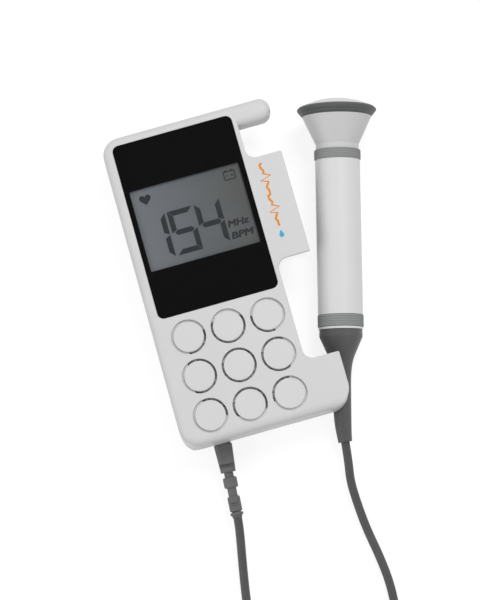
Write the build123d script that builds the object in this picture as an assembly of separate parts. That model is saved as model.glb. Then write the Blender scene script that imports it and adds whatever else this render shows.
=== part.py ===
"""Fetal doppler monitor: a hand unit with a display and a loudspeaker, and an ultrasound probe on a lead.

Row frame, millimetres: the unit lies on its back. The origin is the middle of its flat rear face, +X runs
across to the probe cradle, +Y runs up to the display end and +Z stands out of the display.
"""
from math import cos, degrees, pi, radians, sin, tan
import os

from build123d import *

os.makedirs("parts", exist_ok=True)

# ---------------------------------------------------------------- driving dimensions: casing
unit_length = 140.0            # along Y, over the two ends
body_width = 60.2              # along X, without the cradle hooks
unit_depth = 27.0              # rear face to front face
parting_height = 13.5          # rear housing below, front housing above
wall = 2.2                     # side walls
front_wall = 2.4
rear_wall = 2.0
top_corner = 8.0               # outline corners on the closed side
bottom_corner = 8.5
front_edge_round = 3.6
rear_edge_round = 3.0
rear_slope = 9.0               # degrees that the rear shell's lower end leans in
rear_slope_top = 12.5          # height where the lean starts
rear_end_wall = 3.4            # wall of that end
crisp_edge_round = 0.6         # hooks and gap edges
shadow_gap = 0.2               # groove along the parting line
tongue_thickness = 0.9
tongue_height = 1.5
slip = 0.15                    # clearance of seated pieces

# ---------------------------------------------------------------- driving dimensions: cradle
hook_reach = 15.1              # how far the hooks stand out of the body
cradle_radius = 10.3           # runs round the probe's barrel
middle_hook_low = -1.5         # Y of the middle hook's ends
middle_hook_high = 44.6
lower_hook_high = -46.7        # Y of the lower hook's upper end
lower_hook_corner = 9.0
hook_corner = 0.8
hook_end_slope = 11.5          # degrees that the middle hook's ends lean in, towards the rear
hook_seam = 0.1                # the hooks' nodes start this far inside the flank
hook_end_wall = 3.8            # closes the lower hook's channel, but for the boot's slot
boot_slot_radius = 5.0
lift_angle = 19.9              # degrees up that the boot leaves its slot
lip_round = 1.4                # lead-in on the tips of the hooks
seam_x = 20.0                  # the closed form and the hooked side are modelled apart and meet here
root_round = 4.5               # fillet between hook and body
horn_height = 9.85             # the bar over the probe's face, along Y
horn_thickness = 12.0          # down from the front face
horn_reach = 15.6
horn_tip_round = 4.7
horn_dimple_radius = 1.2

# ---------------------------------------------------------------- driving dimensions: display
window_frame = 6.3             # casing beside the window, both sides together
window_length = 79.1
window_x = 1.3
window_y = 26.42
window_corner = 3.0
window_thickness = 1.2
mask_thickness = 0.2
view_frame = 4.9               # black border beside the visible part, both sides together
view_length = 36.5
view_clear = 1.4               # the floor's opening under the black border is larger by this much
view_rise = 0.1                # above the window's middle
lcd_border = 1.2               # glass beyond the visible part
lcd_thickness = 2.8
carrier_wall = 0.7
zebra_width = 2.0
board_thickness = 1.6

# ---------------------------------------------------------------- driving dimensions: loudspeaker grille
ring_pitch = 17.6
ring_count = 3                 # rings each way
ring_hole_radius = 7.57
ring_slot_width = 1.0
ring_slot_depth = 1.2
grille_x = 2.4
grille_y = -41.05
sound_margin = 3.0             # slots are open inside the loudspeaker's rim, less this much
web_width = 1.3
web_drop = 1.8                 # webs start this far below the slots' floor
grille_plate = 1.8
grille_margin = 7.65           # plate beyond the outer ring centres
speaker_room = 5.1              # from the flanks to the loudspeaker's rim
speaker_flange = 1.0
speaker_depth = 14.0
magnet_radius = 10.0
magnet_thickness = 6.0
mesh_thickness = 0.3
gasket_thickness = 1.5

# ---------------------------------------------------------------- driving dimensions: power and controls
cell_radius = 7.2
cell_length = 50.5
cell_pitch = 14.9
cell_clearance = 0.3
contact_room = 1.75            # at each end of a cell
battery_y = 35.6               # middle of the battery box
box_wall = 1.4
box_rim = 3.0                  # rim round the door opening that carries the box
door_width = 36.0
door_low = 4.0                 # Y of the door's inner end
door_thickness = 1.8
door_gap = 0.2
door_rail = 1.2                # rail beyond each side of the door
rail_thickness = 0.9
button_height = 6.0            # along Z
power_button_length = 9.0
volume_button_length = 12.0
power_button_y = 29.0
volume_up_y = 11.0
volume_down_y = -4.0
button_flush = 0.1             # caps sit this far below the flank
button_gap = 0.25
button_travel = 0.6
button_flange = 1.0
switch_size = 6.0
switch_depth = 3.4
plunger_radius = 1.7
plunger_clearance = 0.08
jack_room = 3.55                # from the battery box to the socket's middle
jack_bore_radius = 1.8
jack_nose_radius = 2.9
jack_length = 12.0
screw_inset = 5.7              # from the flanks
screw_low_inset = 7.7          # from the lower end
screw_high_y = 52.9
screw_radius = 1.2
screw_head_radius = 2.5
screw_length = 17.0
boss_radius = 3.2
boss_foot_radius = 3.8
chip_sizes = ((12.0, 10.0, 1.4), (7.0, 7.0, 1.2), (10.0, 5.0, 3.2))
chip_places = ((-2.0, 6.0), (-16.5, 5.5), (13.0, 4.5))   # from the row's middle and the board's low end
board_margin = 4.0             # from the loudspeaker to the first chips
capacitor_radius = 1.6
capacitor_height = 3.6
capacitor_pitch = 4.2
capacitor_x = 9.5
capacitor_y = 10.5
contact_width = 10.0
contact_thickness = 0.4
contact_bulge_radius = 2.2

# ---------------------------------------------------------------- driving dimensions: probe, along its axis
probe_axis_point = (50.2, -32.44, 11.0)   # middle of the rear collar
probe_lean = 14.78                  # degrees from +Y towards +X
probe_rise = 3.96                   # degrees up from the table
boot_length = 48.8
boot_tip_radius = 3.05
boot_neck_radius = 3.9
boot_bell_radius = 9.45
boot_bend_length = 14.0             # the last part of the boot follows the lead
boot_bend_turn = 8.0                # degrees, over that part
end_cap_length = 0.9
rear_collar_radius = 10.0
front_collar_radius = 10.15
rear_collar_length = 5.5
front_collar_length = 4.5
barrel_length = 77.9                # over both collar seats
barrel_radius = 9.8
barrel_wall = 1.8
collar_seat = 0.95                  # depth of the seats under the collars
neck_length = 2.8
neck_radius = 9.36
cone_length = 11.8
cone_radius = 15.1
cone_wall = 1.6
face_ring_length = 4.2
face_radius = 17.4
dome_height = 4.0
dome_radius = 16.5
crystal_radius = 11.0
crystal_thickness = 1.1
crystal_gap = 0.8
backing_length = 6.0
probe_board_width = 12.4
probe_board_thickness = 1.2
probe_board_clear = 4.0             # from the rear collar
probe_board_short = 6.0             # from the front collar
foam_length = 3.0
foam_low = 6.0                      # from the board's ends
foam_high = 10.0
probe_chip = (7.0, 1.6, 5.0)
probe_chip_start = 15.0
probe_chip_pitch = 8.0

# ---------------------------------------------------------------- driving dimensions: lead
lead_diameter = 3.8
relief_x = -13.6
relief_z = 8.0
relief_length = 32.1
relief_lean = 4.1                   # degrees from -Y towards -X
relief_drop = 3.85                  # degrees down
grommet_radius = 3.6
grommet_flange_radius = 5.2
coil_x = 2.5
coil_y = -173.0
coil_columns = 4
coil_layers = 2
coil_middle_radius = 18.0
coil_in_angle = 193.0
coil_out_angle = -45.0
tie_width = 5.8
tie_thickness = 0.7
tie_angle = 70.0
relief_exit_run = 4.0
boot_exit_run = 9.0                 # straight run into the boot
coil_height = 0.8                   # the tie passes under the coil

# The lead's route, chosen by hand: from the unit to the coil, and from the coil to the probe.
unit_route = [
    (-19.3, -122.0, 3.0),
    (-21.5, -134.5, 2.0),
    (-23.2, -147.5, 1.95),
    (-23.6, -162.0, 1.95),
]
probe_route = [
    (28.6, -180.9, 5.3),
    (34.6, -171.2, 2.4),
    (38.9, -159.6, 1.95),
    (39.8, -146.8, 1.95),
    (38.6, -134.0, 1.95),
    (36.5, -121.5, 2.0),
    (35.6, -109.5, 2.5),
    (35.4, -99.5, 4.2),
]

# ---------------------------------------------------------------- places worked out from the sizes above
half_width = body_width / 2
half_length = unit_length / 2
body_right = half_width
window_width = body_width - window_frame
view_width = window_width - view_frame
speaker_radius = half_width - speaker_room
sound_radius = speaker_radius - sound_margin
screw_x = half_width - screw_inset
screw_low_y = screw_low_inset - half_length
hook_right = half_width + hook_reach
cradle_x = half_width + cradle_radius
cradle_z = unit_depth / 2
front_inside = unit_depth - front_wall
window_floor = unit_depth - window_thickness - mask_thickness
view_y = window_y + view_rise
view_x = window_x
grille_centres = [
    (
        grille_x + (column - (ring_count - 1) / 2) * ring_pitch,
        grille_y + (row - (ring_count - 1) / 2) * ring_pitch,
    )
    for row in range(ring_count)
    for column in range(ring_count)
]
slot_floor = unit_depth - ring_slot_depth
plate_back = front_inside - grille_plate
mesh_back = plate_back - mesh_thickness
flange_front = mesh_back - gasket_thickness
cell_z = door_thickness + cell_clearance + cell_radius
box_half_width = cell_pitch / 2 + cell_radius + cell_clearance
box_half_length = cell_length / 2 + contact_room
jack_x = -box_half_width - box_wall - jack_room
box_roof = cell_z + cell_radius + cell_clearance
board_z = box_roof + 1.0
lcd_front = window_floor - 1.0
lcd_back = lcd_front - lcd_thickness
button_z = parting_height
flank_x = -half_width
flange_x = flank_x + wall + slip
switch_face_x = flange_x + button_flange + button_travel + 0.1
switch_board_x = switch_face_x + switch_depth
screw_places = [
    (side * screw_x, y) for y in (screw_low_y, screw_high_y) for side in (-1, 1)
]

written = []


def write(shape, node):
    """Write one node's solids to its STEP file."""
    export_step(shape, f"parts/{node}.step")
    written.append(node)


def block(low, high):
    """A box between two corners."""
    size = [b - a for a, b in zip(low, high)]
    middle = [(a + b) / 2 for a, b in zip(low, high)]
    return Pos(*middle) * Box(*size)


def rod(radius, start, end):
    """A cylinder between two points on a line along X, Y or Z."""
    start, end = Vector(*start), Vector(*end)
    span = end - start
    return Plane(origin=start, z_dir=span.normalized()).location * Cylinder(
        radius, span.length, align=(Align.CENTER, Align.CENTER, Align.MIN)
    )


def rounded_plate(width, length, corner, x, y, low, high):
    """A flat plate with rounded corners, from one height to another."""
    return Pos(x, y, low) * extrude(RectangleRounded(width, length, corner), high - low)


def turned(profile):
    """A solid of revolution about Z from (radius, height) points."""
    outline = Polyline(*[(r, 0, z) for r, z in profile], close=True)
    return revolve(make_face(outline), Axis.Z)


def edges_at(shape, height, keep):
    """The edges that lie at one height and whose middle passes a test."""
    found = []
    for edge in shape.edges():
        box = edge.bounding_box()
        if abs(box.min.Z - height) < 1e-4 and abs(box.max.Z - height) < 1e-4 and keep(edge.center()):
            found.append(edge)
    return found


def uprights(shape, keep):
    """The vertical edges whose middle passes a test."""
    return [edge for edge in shape.edges().filter_by(Axis.Z) if keep(edge.center())]


# ---------------------------------------------------------------- casing
def closed_outline(inset, right):
    """The plan of the casing without its hooks, drawn in from the three closed sides."""
    low, high = -half_length + inset, half_length - inset
    left = -half_width + inset
    sheet = make_face(Polyline((left, low), (right, low), (right, high), (left, high), close=True))
    corners = sheet.vertices().filter_by(lambda v: v.X < 0)
    sheet = fillet(corners.filter_by(lambda v: v.Y > 0), top_corner - inset)
    corners = sheet.vertices().filter_by(lambda v: abs(v.X - left) < 0.01 and v.Y < low + 0.01)
    return fillet(corners, bottom_corner - inset)


def end_slope():
    """The wedge that sets the rear shell's lower end back."""
    back = tan(radians(rear_slope))
    profile = Polyline(
        (-half_length - 9, -1),
        (-half_length + (rear_slope_top + 1) * back, -1),
        (-half_length, rear_slope_top),
        (-half_length - 9, rear_slope_top),
        close=True,
    )
    place = Plane(origin=(-100, 0, 0), x_dir=(0, 1, 0), z_dir=(1, 0, 0))
    return place.location * extrude(make_face(profile), 200)


def main_body():
    """The casing's closed part, soft on three sides."""
    body = extrude(closed_outline(0, seam_x), unit_depth) - end_slope()
    soft = lambda c: c.X < seam_x - 0.01
    body = fillet(edges_at(body, unit_depth, soft), front_edge_round)
    return fillet(edges_at(body, 0, soft), rear_edge_round)


def hooked_side():
    """The side with the cradle's two hooks: crisp edges, but soft over both ends."""
    outline = Polyline(
        (seam_x, -half_length),
        (hook_right, -half_length),
        (hook_right, lower_hook_high),
        (body_right, lower_hook_high),
        (body_right, middle_hook_low),
        (hook_right, middle_hook_low),
        (hook_right, middle_hook_high),
        (body_right, middle_hook_high),
        (body_right, half_length),
        (seam_x, half_length),
        close=True,
    )
    sheet = make_face(outline)
    tips = sheet.vertices().filter_by(lambda v: v.X > body_right + 1)
    sheet = fillet(tips.filter_by(lambda v: v.Y > -half_length + 1), hook_corner)
    end = sheet.vertices().filter_by(lambda v: v.X > body_right + 1 and v.Y < -half_length + 0.01)
    sheet = fillet(end, lower_hook_corner)
    roots = sheet.vertices().filter_by(lambda v: abs(v.X - body_right) < 0.01 and v.Y < half_length - 1)
    sheet = fillet(roots, root_round)
    side = extrude(sheet, unit_depth)
    crisp = lambda c: c.X > seam_x + 0.01
    side = fillet(edges_at(side, unit_depth, crisp), crisp_edge_round)
    side = fillet(edges_at(side, 0, crisp), crisp_edge_round)
    soft = block((seam_x, -half_length, 0), (hook_right + 10, half_length, unit_depth)) - end_slope()
    ends = lambda c: abs(c.Y) > half_length - rear_edge_round
    soft = fillet(edges_at(soft, unit_depth, ends), front_edge_round)
    soft = fillet(edges_at(soft, 0, ends), rear_edge_round)
    return side & soft


def hook_slopes():
    """What leans the middle hook's two ends in, with the same round roots at every depth."""
    lean = radians(hook_end_slope)
    right = hook_right + 5
    cuts = []
    for low, high, way in (
        (lower_hook_high, middle_hook_low, 1),
        (middle_hook_high, half_length - horn_height, -1),
    ):
        sheet = Pos((body_right + right) / 2, (low + high) / 2) * Rectangle(right - body_right, high - low)
        roots = sheet.vertices().filter_by(lambda v: v.X < body_right + 0.01)
        sheet = Pos(0, 0, unit_depth - 2 * crisp_edge_round) * fillet(roots, root_round)
        cuts.append(extrude(sheet, (unit_depth + 1) / cos(lean), dir=(0, way * sin(lean), -cos(lean))))
    return cuts


def horn():
    """The rounded bar that stands over the probe's face."""
    tip = body_right + horn_reach
    low = half_length - horn_height
    bar = block((0, low, unit_depth - horn_thickness), (tip, half_length, unit_depth))
    bar = fillet(uprights(bar, lambda c: c.X > body_right), horn_tip_round)
    outer = lambda c: c.X > 1
    bar = fillet(edges_at(bar, unit_depth, outer), front_edge_round)
    bar = fillet(edges_at(bar, unit_depth - horn_thickness, outer), rear_edge_round)
    dimple_place = (tip - 1.0, low + 2.6, unit_depth - 2.9)
    return bar - Pos(*dimple_place) * Sphere(horn_dimple_radius)


def cradle_cutter():
    """The channel that the barrel snaps into, with a rounded lead-in at the tips of the hooks."""
    mouth = hook_right + 10
    opening = Pos(cradle_x, cradle_z) * Circle(cradle_radius)
    opening += Pos((hook_right + mouth) / 2, cradle_z) * Rectangle(mouth - hook_right, 2 * unit_depth)
    tips = opening.vertices().filter_by(lambda v: abs(v.X - hook_right) < 0.01)
    tips = tips.filter_by(lambda v: abs(v.Y - cradle_z) < cradle_radius)
    opening = fillet(tips, lip_round)
    start = middle_hook_high + 4
    place = Plane(origin=(0, start, 0), x_dir=(1, 0, 0), z_dir=(0, -1, 0))
    return place.location * extrude(opening, start + half_length - hook_end_wall)


def boot_slot():
    """The slot in the lower hook's end wall: the boot lies in it and leaves it sideways."""
    y = -half_length + hook_end_wall / 2
    step = y - probe_axis_point[1]
    x = probe_axis_point[0] + step * tan(radians(probe_lean))
    z = probe_axis_point[2] + step * tan(radians(probe_rise)) / cos(radians(probe_lean))
    profile = Circle(boot_slot_radius) + Pos(10, 0) * Rectangle(20, 2 * boot_slot_radius)
    place = Plane(origin=(x, y, z), x_dir=(1, 0, 0), z_dir=(0, -1, 0))
    return place.location * Rot(0, 0, lift_angle) * extrude(profile, hook_end_wall / 2 + 1, both=True)


def outer_form():
    """The closed outer form of both housings, cradle included."""
    form = main_body() + hooked_side()
    for cut in hook_slopes():
        form -= cut
    return form + horn() - cradle_cutter() - boot_slot()


def cavity(low, high, inset=0.0):
    """The hollow inside the side walls, between two heights."""
    width = body_width - 2 * (wall - inset)
    length = unit_length - 2 * (wall - inset)
    return rounded_plate(width, length, bottom_corner - wall + inset, 0, 0, low, high)


def button_cutter(y, length):
    """The hole for one button through the closed flank."""
    cut = RectangleRounded(length + 2 * button_gap, button_height + 2 * button_gap, 1.4)
    place = Plane(origin=(flank_x + wall + 1, y, button_z), x_dir=(0, 1, 0), z_dir=(-1, 0, 0))
    return place.location * extrude(cut, wall + 2)


def casing_openings():
    """The holes that both housings share: buttons and headphone socket."""
    cuts = [
        button_cutter(power_button_y, power_button_length),
        button_cutter(volume_up_y, volume_button_length),
        button_cutter(volume_down_y, volume_button_length),
    ]
    cuts.append(
        rod(
            jack_nose_radius + slip,
            (jack_x, half_length - wall - 4, parting_height),
            (jack_x, half_length + 1, parting_height),
        )
    )
    return cuts


def joint_ring(low, high, clearance):
    """The ring of the tongue and groove joint inside the side walls."""
    ring = cavity(low, high, tongue_thickness + clearance)
    return ring - cavity(low - 1, high + 1, -clearance)


def front_housing(form):
    """The front shell: display window recess, ring holes, screw bosses and the tongue of the joint."""
    shell = form & block((-100, -100, parting_height), (100, 100, unit_depth + 1))
    shell -= cavity(parting_height - 1, front_inside)
    shell -= rounded_plate(
        window_width, window_length, window_corner, window_x, window_y, window_floor, unit_depth + 1
    )
    opening = (view_width + view_clear, view_length + view_clear, 0.8)
    shell -= rounded_plate(*opening, view_x, view_y, lcd_front - 1, unit_depth)
    for x, y in grille_centres:
        shell -= rod(ring_hole_radius, (x, y, front_inside - 1), (x, y, unit_depth + 1))
    shell += joint_ring(parting_height - tongue_height, parting_height + 1, 0)
    for x, y in screw_places:
        top = front_inside + 0.5 if y > 0 else plate_back - 0.4
        side = half_width - wall / 2 if x > 0 else wall / 2 - half_width
        boss = rod(boss_radius, (x, y, parting_height), (x, y, top))
        boss += block((min(x, side), y - 0.8, parting_height), (max(x, side), y + 0.8, top))
        shell += boss - rod(screw_radius, (x, y, parting_height - 1), (x, y, screw_length + 2))
    for cut in casing_openings():
        shell -= cut
    return shell


def parting_groove():
    """The shadow line along the three closed sides and in the two gaps of the hooked side."""
    low = parting_height - shadow_gap
    groove = block((-100, -100, low), (body_right, 100, parting_height + 1))
    groove -= Pos(0, 0, low - 1) * extrude(closed_outline(shadow_gap, 100), shadow_gap + 3)
    for start, end in ((lower_hook_high, middle_hook_low), (middle_hook_high, half_length + 1)):
        groove += block((body_right - shadow_gap, start, low), (body_right + 1, end, parting_height + 1))
    return groove


def rear_housing(form):
    """The rear shell: battery box, door opening with its rail grooves, bosses and switch-board posts."""
    shell = form & block((-100, -100, -1), (100, 100, parting_height))
    shell -= parting_groove()
    hollow = cavity(rear_wall, parting_height + 1)
    shell -= hollow - block((-100, -100, 0), (100, -half_length + rear_end_wall, unit_depth))
    shell += battery_box()
    for x, y in screw_places:
        shell += rod(boss_radius, (x, y, rear_wall), (x, y, parting_height))
        shell += rod(boss_foot_radius, (x, y, rear_wall), (x, y, 5.0))
        shell -= rod(screw_radius + 0.25, (x, y, -1), (x, y, parting_height + 1))
        shell -= rod(screw_head_radius + 0.3, (x, y, -1), (x, y, 3.0))
    for post in board_posts():
        shell += post
    shell -= joint_ring(parting_height - tongue_height - slip, parting_height + 1, slip)
    shell -= door_opening()
    shell -= rod(
        grommet_radius + slip / 2,
        (relief_x, -half_length - 1, relief_z),
        (relief_x, -half_length + rear_end_wall + 1, relief_z),
    )
    for cut in casing_openings():
        shell -= cut
    return shell


def hook_zones():
    """The two stretches that the cradle's hooks take up, a hair inside the flank."""
    left, right = body_right - hook_seam, hook_right + 1
    return [
        block((left, -half_length - 1, -1), (right, lower_hook_high + root_round, unit_depth + 1)),
        block(
            (left, middle_hook_low - root_round, -1), (right, middle_hook_high + root_round, unit_depth + 1)
        ),
    ]


def guard_zone():
    """The stretch that the bar over the probe's face takes up."""
    low = (body_right - hook_seam, half_length - horn_height, unit_depth - horn_thickness)
    return block(low, (body_right + horn_reach + 1, half_length + 1, unit_depth + 1))


def split_shells(front, rear):
    """Both shells with the hooks and the bar as nodes of their own, which touch face to face."""
    hooks = hook_zones()
    guard = guard_zone()
    return {
        "front_housing": front - hooks[0] - hooks[1] - guard,
        "rear_housing": rear - hooks[0] - hooks[1],
        "front_cradle": Compound(children=[(front & zone).solid() for zone in hooks]),
        "rear_cradle": Compound(children=[(rear & zone).solid() for zone in hooks]),
        "face_guard": front & guard,
    }


def battery_box():
    """The closed box round the cells, open towards the door."""
    outer = block(
        (-box_half_width - box_wall, battery_y - box_half_length - box_wall, rear_wall - 0.5),
        (box_half_width + box_wall, battery_y + box_half_length + box_wall, board_z),
    )
    inner = block(
        (-box_half_width, battery_y - box_half_length, -1),
        (box_half_width, battery_y + box_half_length, box_roof),
    )
    rim = block(
        (-door_width / 2 - box_rim, door_low - box_rim, rear_wall - 0.5),
        (door_width / 2 + box_rim, half_length - wall / 2, rear_wall + 1.2),
    )
    return outer + rim - inner


def door_opening():
    """What the door, its rails and its hollow need out of the rear shell."""
    half = door_width / 2 + door_gap
    top = door_thickness + door_gap
    opening = block((-half, door_low - door_gap, -1), (half, half_length + 1, top))
    rails = block(
        (-half - door_rail, door_low - door_gap, door_thickness - rail_thickness - door_gap),
        (half + door_rail, half_length + 1, top),
    )
    hollow = block(
        (-box_half_width, battery_y - box_half_length, -1),
        (box_half_width, battery_y + box_half_length, top + 1),
    )
    return opening + rails + hollow


def board_posts():
    """Two slotted posts that hold the switch board on edge."""
    posts = []
    for y in switch_board_ends():
        post = block(
            (switch_board_x - 1.2, y - 1.2, rear_wall - 0.5),
            (switch_board_x + 2.2, y + 1.2, parting_height - 2),
        )
        slot = block((switch_board_x, y - 2, rear_wall + 4), (switch_board_x + 0.8, y + 2, parting_height))
        posts.append(post - slot)
    return posts


def switch_board_ends():
    """Y of the switch board's two ends."""
    return (volume_down_y - 9.0, power_button_y + 9.0)


def battery_door(form):
    """The sliding door: a slice of the rear face with a rail along each side and grip ribs."""
    half = door_width / 2
    panel = form & block((-half, door_low, -1), (half, half_length + 1, door_thickness))
    rail_low = door_thickness - rail_thickness
    for side in (-1, 1):
        inner, outer = side * (half - 0.5), side * (half + door_rail)
        panel += block(
            (min(inner, outer), door_low, rail_low), (max(inner, outer), half_length - 4.0, door_thickness)
        )
    for step in range(5):
        y = door_low + 9 + step * 2.4
        panel -= block((-9, y, -1), (9, y + 1.1, 0.5))
    return panel


def housing_screws():
    """Four pan-head screws from behind."""
    screws = []
    for x, y in screw_places:
        screw = rod(screw_head_radius, (x, y, 1.0), (x, y, 3.0))
        screw += rod(screw_radius, (x, y, 2.0), (x, y, screw_length))
        slot = block((x - 1.6, y - 0.35, 0), (x + 1.6, y + 0.35, 1.8))
        slot += block((x - 0.35, y - 1.6, 0), (x + 0.35, y + 1.6, 1.8))
        screws.append(screw - slot)
    return Compound(children=screws)


# ---------------------------------------------------------------- loudspeaker and its grille
def grille_insert():
    """Nine islands on one plate, with open arcs round them inside the sound circle and webs behind."""
    side = (ring_count - 1) * ring_pitch + 2 * grille_margin
    insert = rounded_plate(side, side, 6.0, grille_x, grille_y, plate_back, front_inside)
    island_radius = ring_hole_radius - ring_slot_width
    for x, y in grille_centres:
        insert += rod(ring_hole_radius - slip / 2, (x, y, plate_back), (x, y, slot_floor))
        island = rod(island_radius, (x, y, plate_back), (x, y, unit_depth))
        insert += fillet(edges_at(island, unit_depth, lambda c: True), 0.35)
    rings = Sketch()
    webs = Sketch()
    for x, y in grille_centres:
        rings += Pos(x, y) * (Circle(ring_hole_radius) - Circle(island_radius))
        for turn in range(3):
            webs += Pos(x, y) * Rot(0, 0, 30 + 60 * turn) * Rectangle(2 * ring_hole_radius + 1, web_width)
    open_rings = rings & (Pos(grille_x, grille_y) * Circle(sound_radius))
    web_top = slot_floor - web_drop
    insert -= Pos(0, 0, web_top) * extrude(open_rings, ring_slot_depth + web_drop)
    return insert - Pos(0, 0, plate_back - 1) * extrude(open_rings - webs, web_top - plate_back + 1.01)


def speaker_parts():
    """Mesh, gasket, basket, cone and magnet, from front to back."""
    place = Pos(grille_x, grille_y, 0)
    mesh = rod(sound_radius + 1.5, (0, 0, mesh_back), (0, 0, plate_back))
    gasket = rod(speaker_radius - 0.5, (0, 0, flange_front), (0, 0, mesh_back))
    gasket -= rod(speaker_radius - 3.5, (0, 0, flange_front - 1), (0, 0, mesh_back + 1))
    flange_back = flange_front - speaker_flange
    magnet_front = flange_front - speaker_depth + magnet_thickness
    rim = speaker_radius - 2.5
    foot = magnet_radius + 2.0
    hub = magnet_radius * 0.4
    skin = speaker_flange * 0.8
    basket = turned(
        [
            (hub, magnet_front),
            (foot, magnet_front),
            (rim + skin, flange_back),
            (speaker_radius, flange_back),
            (speaker_radius, flange_front),
            (rim, flange_front),
            (foot - skin, magnet_front + skin),
            (hub, magnet_front + skin),
        ]
    )
    part = speaker_radius / 100
    cone = turned(
        [
            (0, magnet_front + 17 * part),
            (18 * part, magnet_front + 13 * part),
            (20 * part, magnet_front + 10 * part),
            (70 * part, flange_front - 6 * part),
            (74 * part, flange_front - 2 * part),
            (82 * part, flange_front - 2 * part),
            (86 * part, flange_front),
            (86 * part, flange_front + 2 * part),
            (81 * part, flange_front),
            (75 * part, flange_front),
            (70 * part, flange_front - 3 * part),
            (22 * part, magnet_front + 14 * part),
            (19 * part, magnet_front + 17 * part),
            (0, magnet_front + 20 * part),
        ]
    )
    yoke = magnet_radius + skin
    magnet_back = magnet_front - magnet_thickness
    magnet = rod(magnet_radius, (0, 0, magnet_back), (0, 0, magnet_front))
    magnet += rod(yoke, (0, 0, magnet_back - skin), (0, 0, magnet_back + skin))
    shapes = {"speaker_mesh": mesh, "speaker_gasket": gasket, "speaker_basket": basket, "speaker_cone": cone}
    shapes["speaker_magnet"] = magnet
    return {node: place * shape for node, shape in shapes.items()}


# ---------------------------------------------------------------- display and boards
def display_parts():
    """Window, black mask, liquid crystal panel, its carrier and the contact strips."""
    window = rounded_plate(
        window_width - 2 * slip,
        window_length - 2 * slip,
        window_corner - slip,
        window_x,
        window_y,
        window_floor + mask_thickness,
        unit_depth,
    )
    mask = rounded_plate(
        window_width - 2 * slip,
        window_length - 2 * slip,
        window_corner - slip,
        window_x,
        window_y,
        window_floor,
        window_floor + mask_thickness,
    )
    mask -= rounded_plate(view_width, view_length, 0.5, view_x, view_y, window_floor - 1, window_floor + 1)
    lcd_width = view_width + 2 * lcd_border
    lcd_length = view_length + 2 * lcd_border + 2 * zebra_width
    lcd = block(
        (view_x - lcd_width / 2, view_y - lcd_length / 2, lcd_back),
        (view_x + lcd_width / 2, view_y + lcd_length / 2, lcd_front),
    )
    board_top = board_z + board_thickness
    carrier = block(
        (view_x - lcd_width / 2 - carrier_wall, view_y - lcd_length / 2 - carrier_wall, board_top),
        (view_x + lcd_width / 2 + carrier_wall, view_y + lcd_length / 2 + carrier_wall, lcd_front),
    )
    carrier -= block(
        (view_x - lcd_width / 2 - slip, view_y - lcd_length / 2 - slip, lcd_back),
        (view_x + lcd_width / 2 + slip, view_y + lcd_length / 2 + slip, lcd_front + 1),
    )
    zebras = []
    for side in (-1, 1):
        middle = view_y + side * (lcd_length / 2 - zebra_width / 2 - 0.4)
        low = (view_x - lcd_width / 2 + 2, middle - zebra_width / 2, board_top)
        high = (view_x + lcd_width / 2 - 2, middle + zebra_width / 2, lcd_back)
        zebras.append(block(low, high))
        carrier -= block(
            (low[0] - slip, low[1] - slip, board_top - 1), (high[0] + slip, high[1] + slip, lcd_back + 1)
        )
    carrier -= block(
        (view_x - view_width / 2, view_y - view_length / 2 + 4, board_top - 1),
        (view_x + view_width / 2, view_y + view_length / 2 - 4, lcd_back + 1),
    )
    return {
        "display_window": window,
        "window_mask": mask,
        "lcd_panel": lcd,
        "lcd_carrier": carrier,
        "zebra_strips": Compound(children=zebras),
    }


def main_board():
    """The main circuit board over the battery box, cut away round the upper screw bosses."""
    low_y = grille_y + speaker_radius + 2.5
    high_y = half_length - wall - 3.5
    half = half_width - wall - 1.2
    board = block((-half, low_y, board_z), (half, high_y, board_z + board_thickness))
    for side in (-1, 1):
        x = side * screw_x
        board -= rod(boss_radius + 0.5, (x, screw_high_y, board_z - 1), (x, screw_high_y, board_z + 3))
        edge = sorted((x, side * (half + 1)))
        board -= block(
            (edge[0], screw_high_y - boss_radius - 0.5, board_z - 1),
            (edge[1], screw_high_y + boss_radius + 0.5, board_z + 3),
        )
    return board


def board_components():
    """Chips, a connector and capacitors on the board's free end below the display."""
    top = board_z + board_thickness
    low_y = grille_y + speaker_radius + board_margin
    pieces = []
    for (width, length, height), (x, y) in zip(chip_sizes, chip_places):
        low = (x - width / 2, low_y + y - length / 2, top)
        pieces.append(block(low, (x + width / 2, low_y + y + length / 2, top + height)))
    for step in range(3):
        x = capacitor_x + step * capacitor_pitch
        y = low_y + capacitor_y
        pieces.append(rod(capacitor_radius, (x, y, top), (x, y, top + capacitor_height)))
    return Compound(children=pieces)


# ---------------------------------------------------------------- batteries, contacts and controls
def battery_cells():
    """Two AA cells, side by side and end for end, each with its raised plus pole."""
    cells = []
    pole = 1.2
    for side in (-1, 1):
        x = side * cell_pitch / 2
        low = battery_y - cell_length / 2
        cell = rod(cell_radius, (x, low, cell_z), (x, low + cell_length - pole, cell_z))
        cell = fillet(cell.edges(), 0.5)
        cell += rod(2.6, (x, low + cell_length - pole - 0.1, cell_z), (x, low + cell_length, cell_z))
        if side > 0:
            cell = Pos(x, battery_y, 0) * Rot(0, 0, 180) * Pos(-x, -battery_y, 0) * cell
        cells.append(cell)
    return Compound(children=cells)


def battery_contacts():
    """Folded spring-steel leaves at both ends of the cells."""
    leaves = []
    for end in (-1, 1):
        wall_y = battery_y + end * box_half_length
        cell_y = battery_y + end * cell_length / 2
        for side in (-1, 1):
            x = side * cell_pitch / 2
            near, far = sorted((wall_y, wall_y - end * contact_thickness))
            half = contact_width / 2
            plate = block((x - half, near, cell_z - half), (x + half, far, cell_z + half))
            plate += rod(contact_bulge_radius, (x, wall_y, cell_z), (x, cell_y, cell_z))
            leaves.append(plate)
    return Compound(children=leaves)


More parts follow.
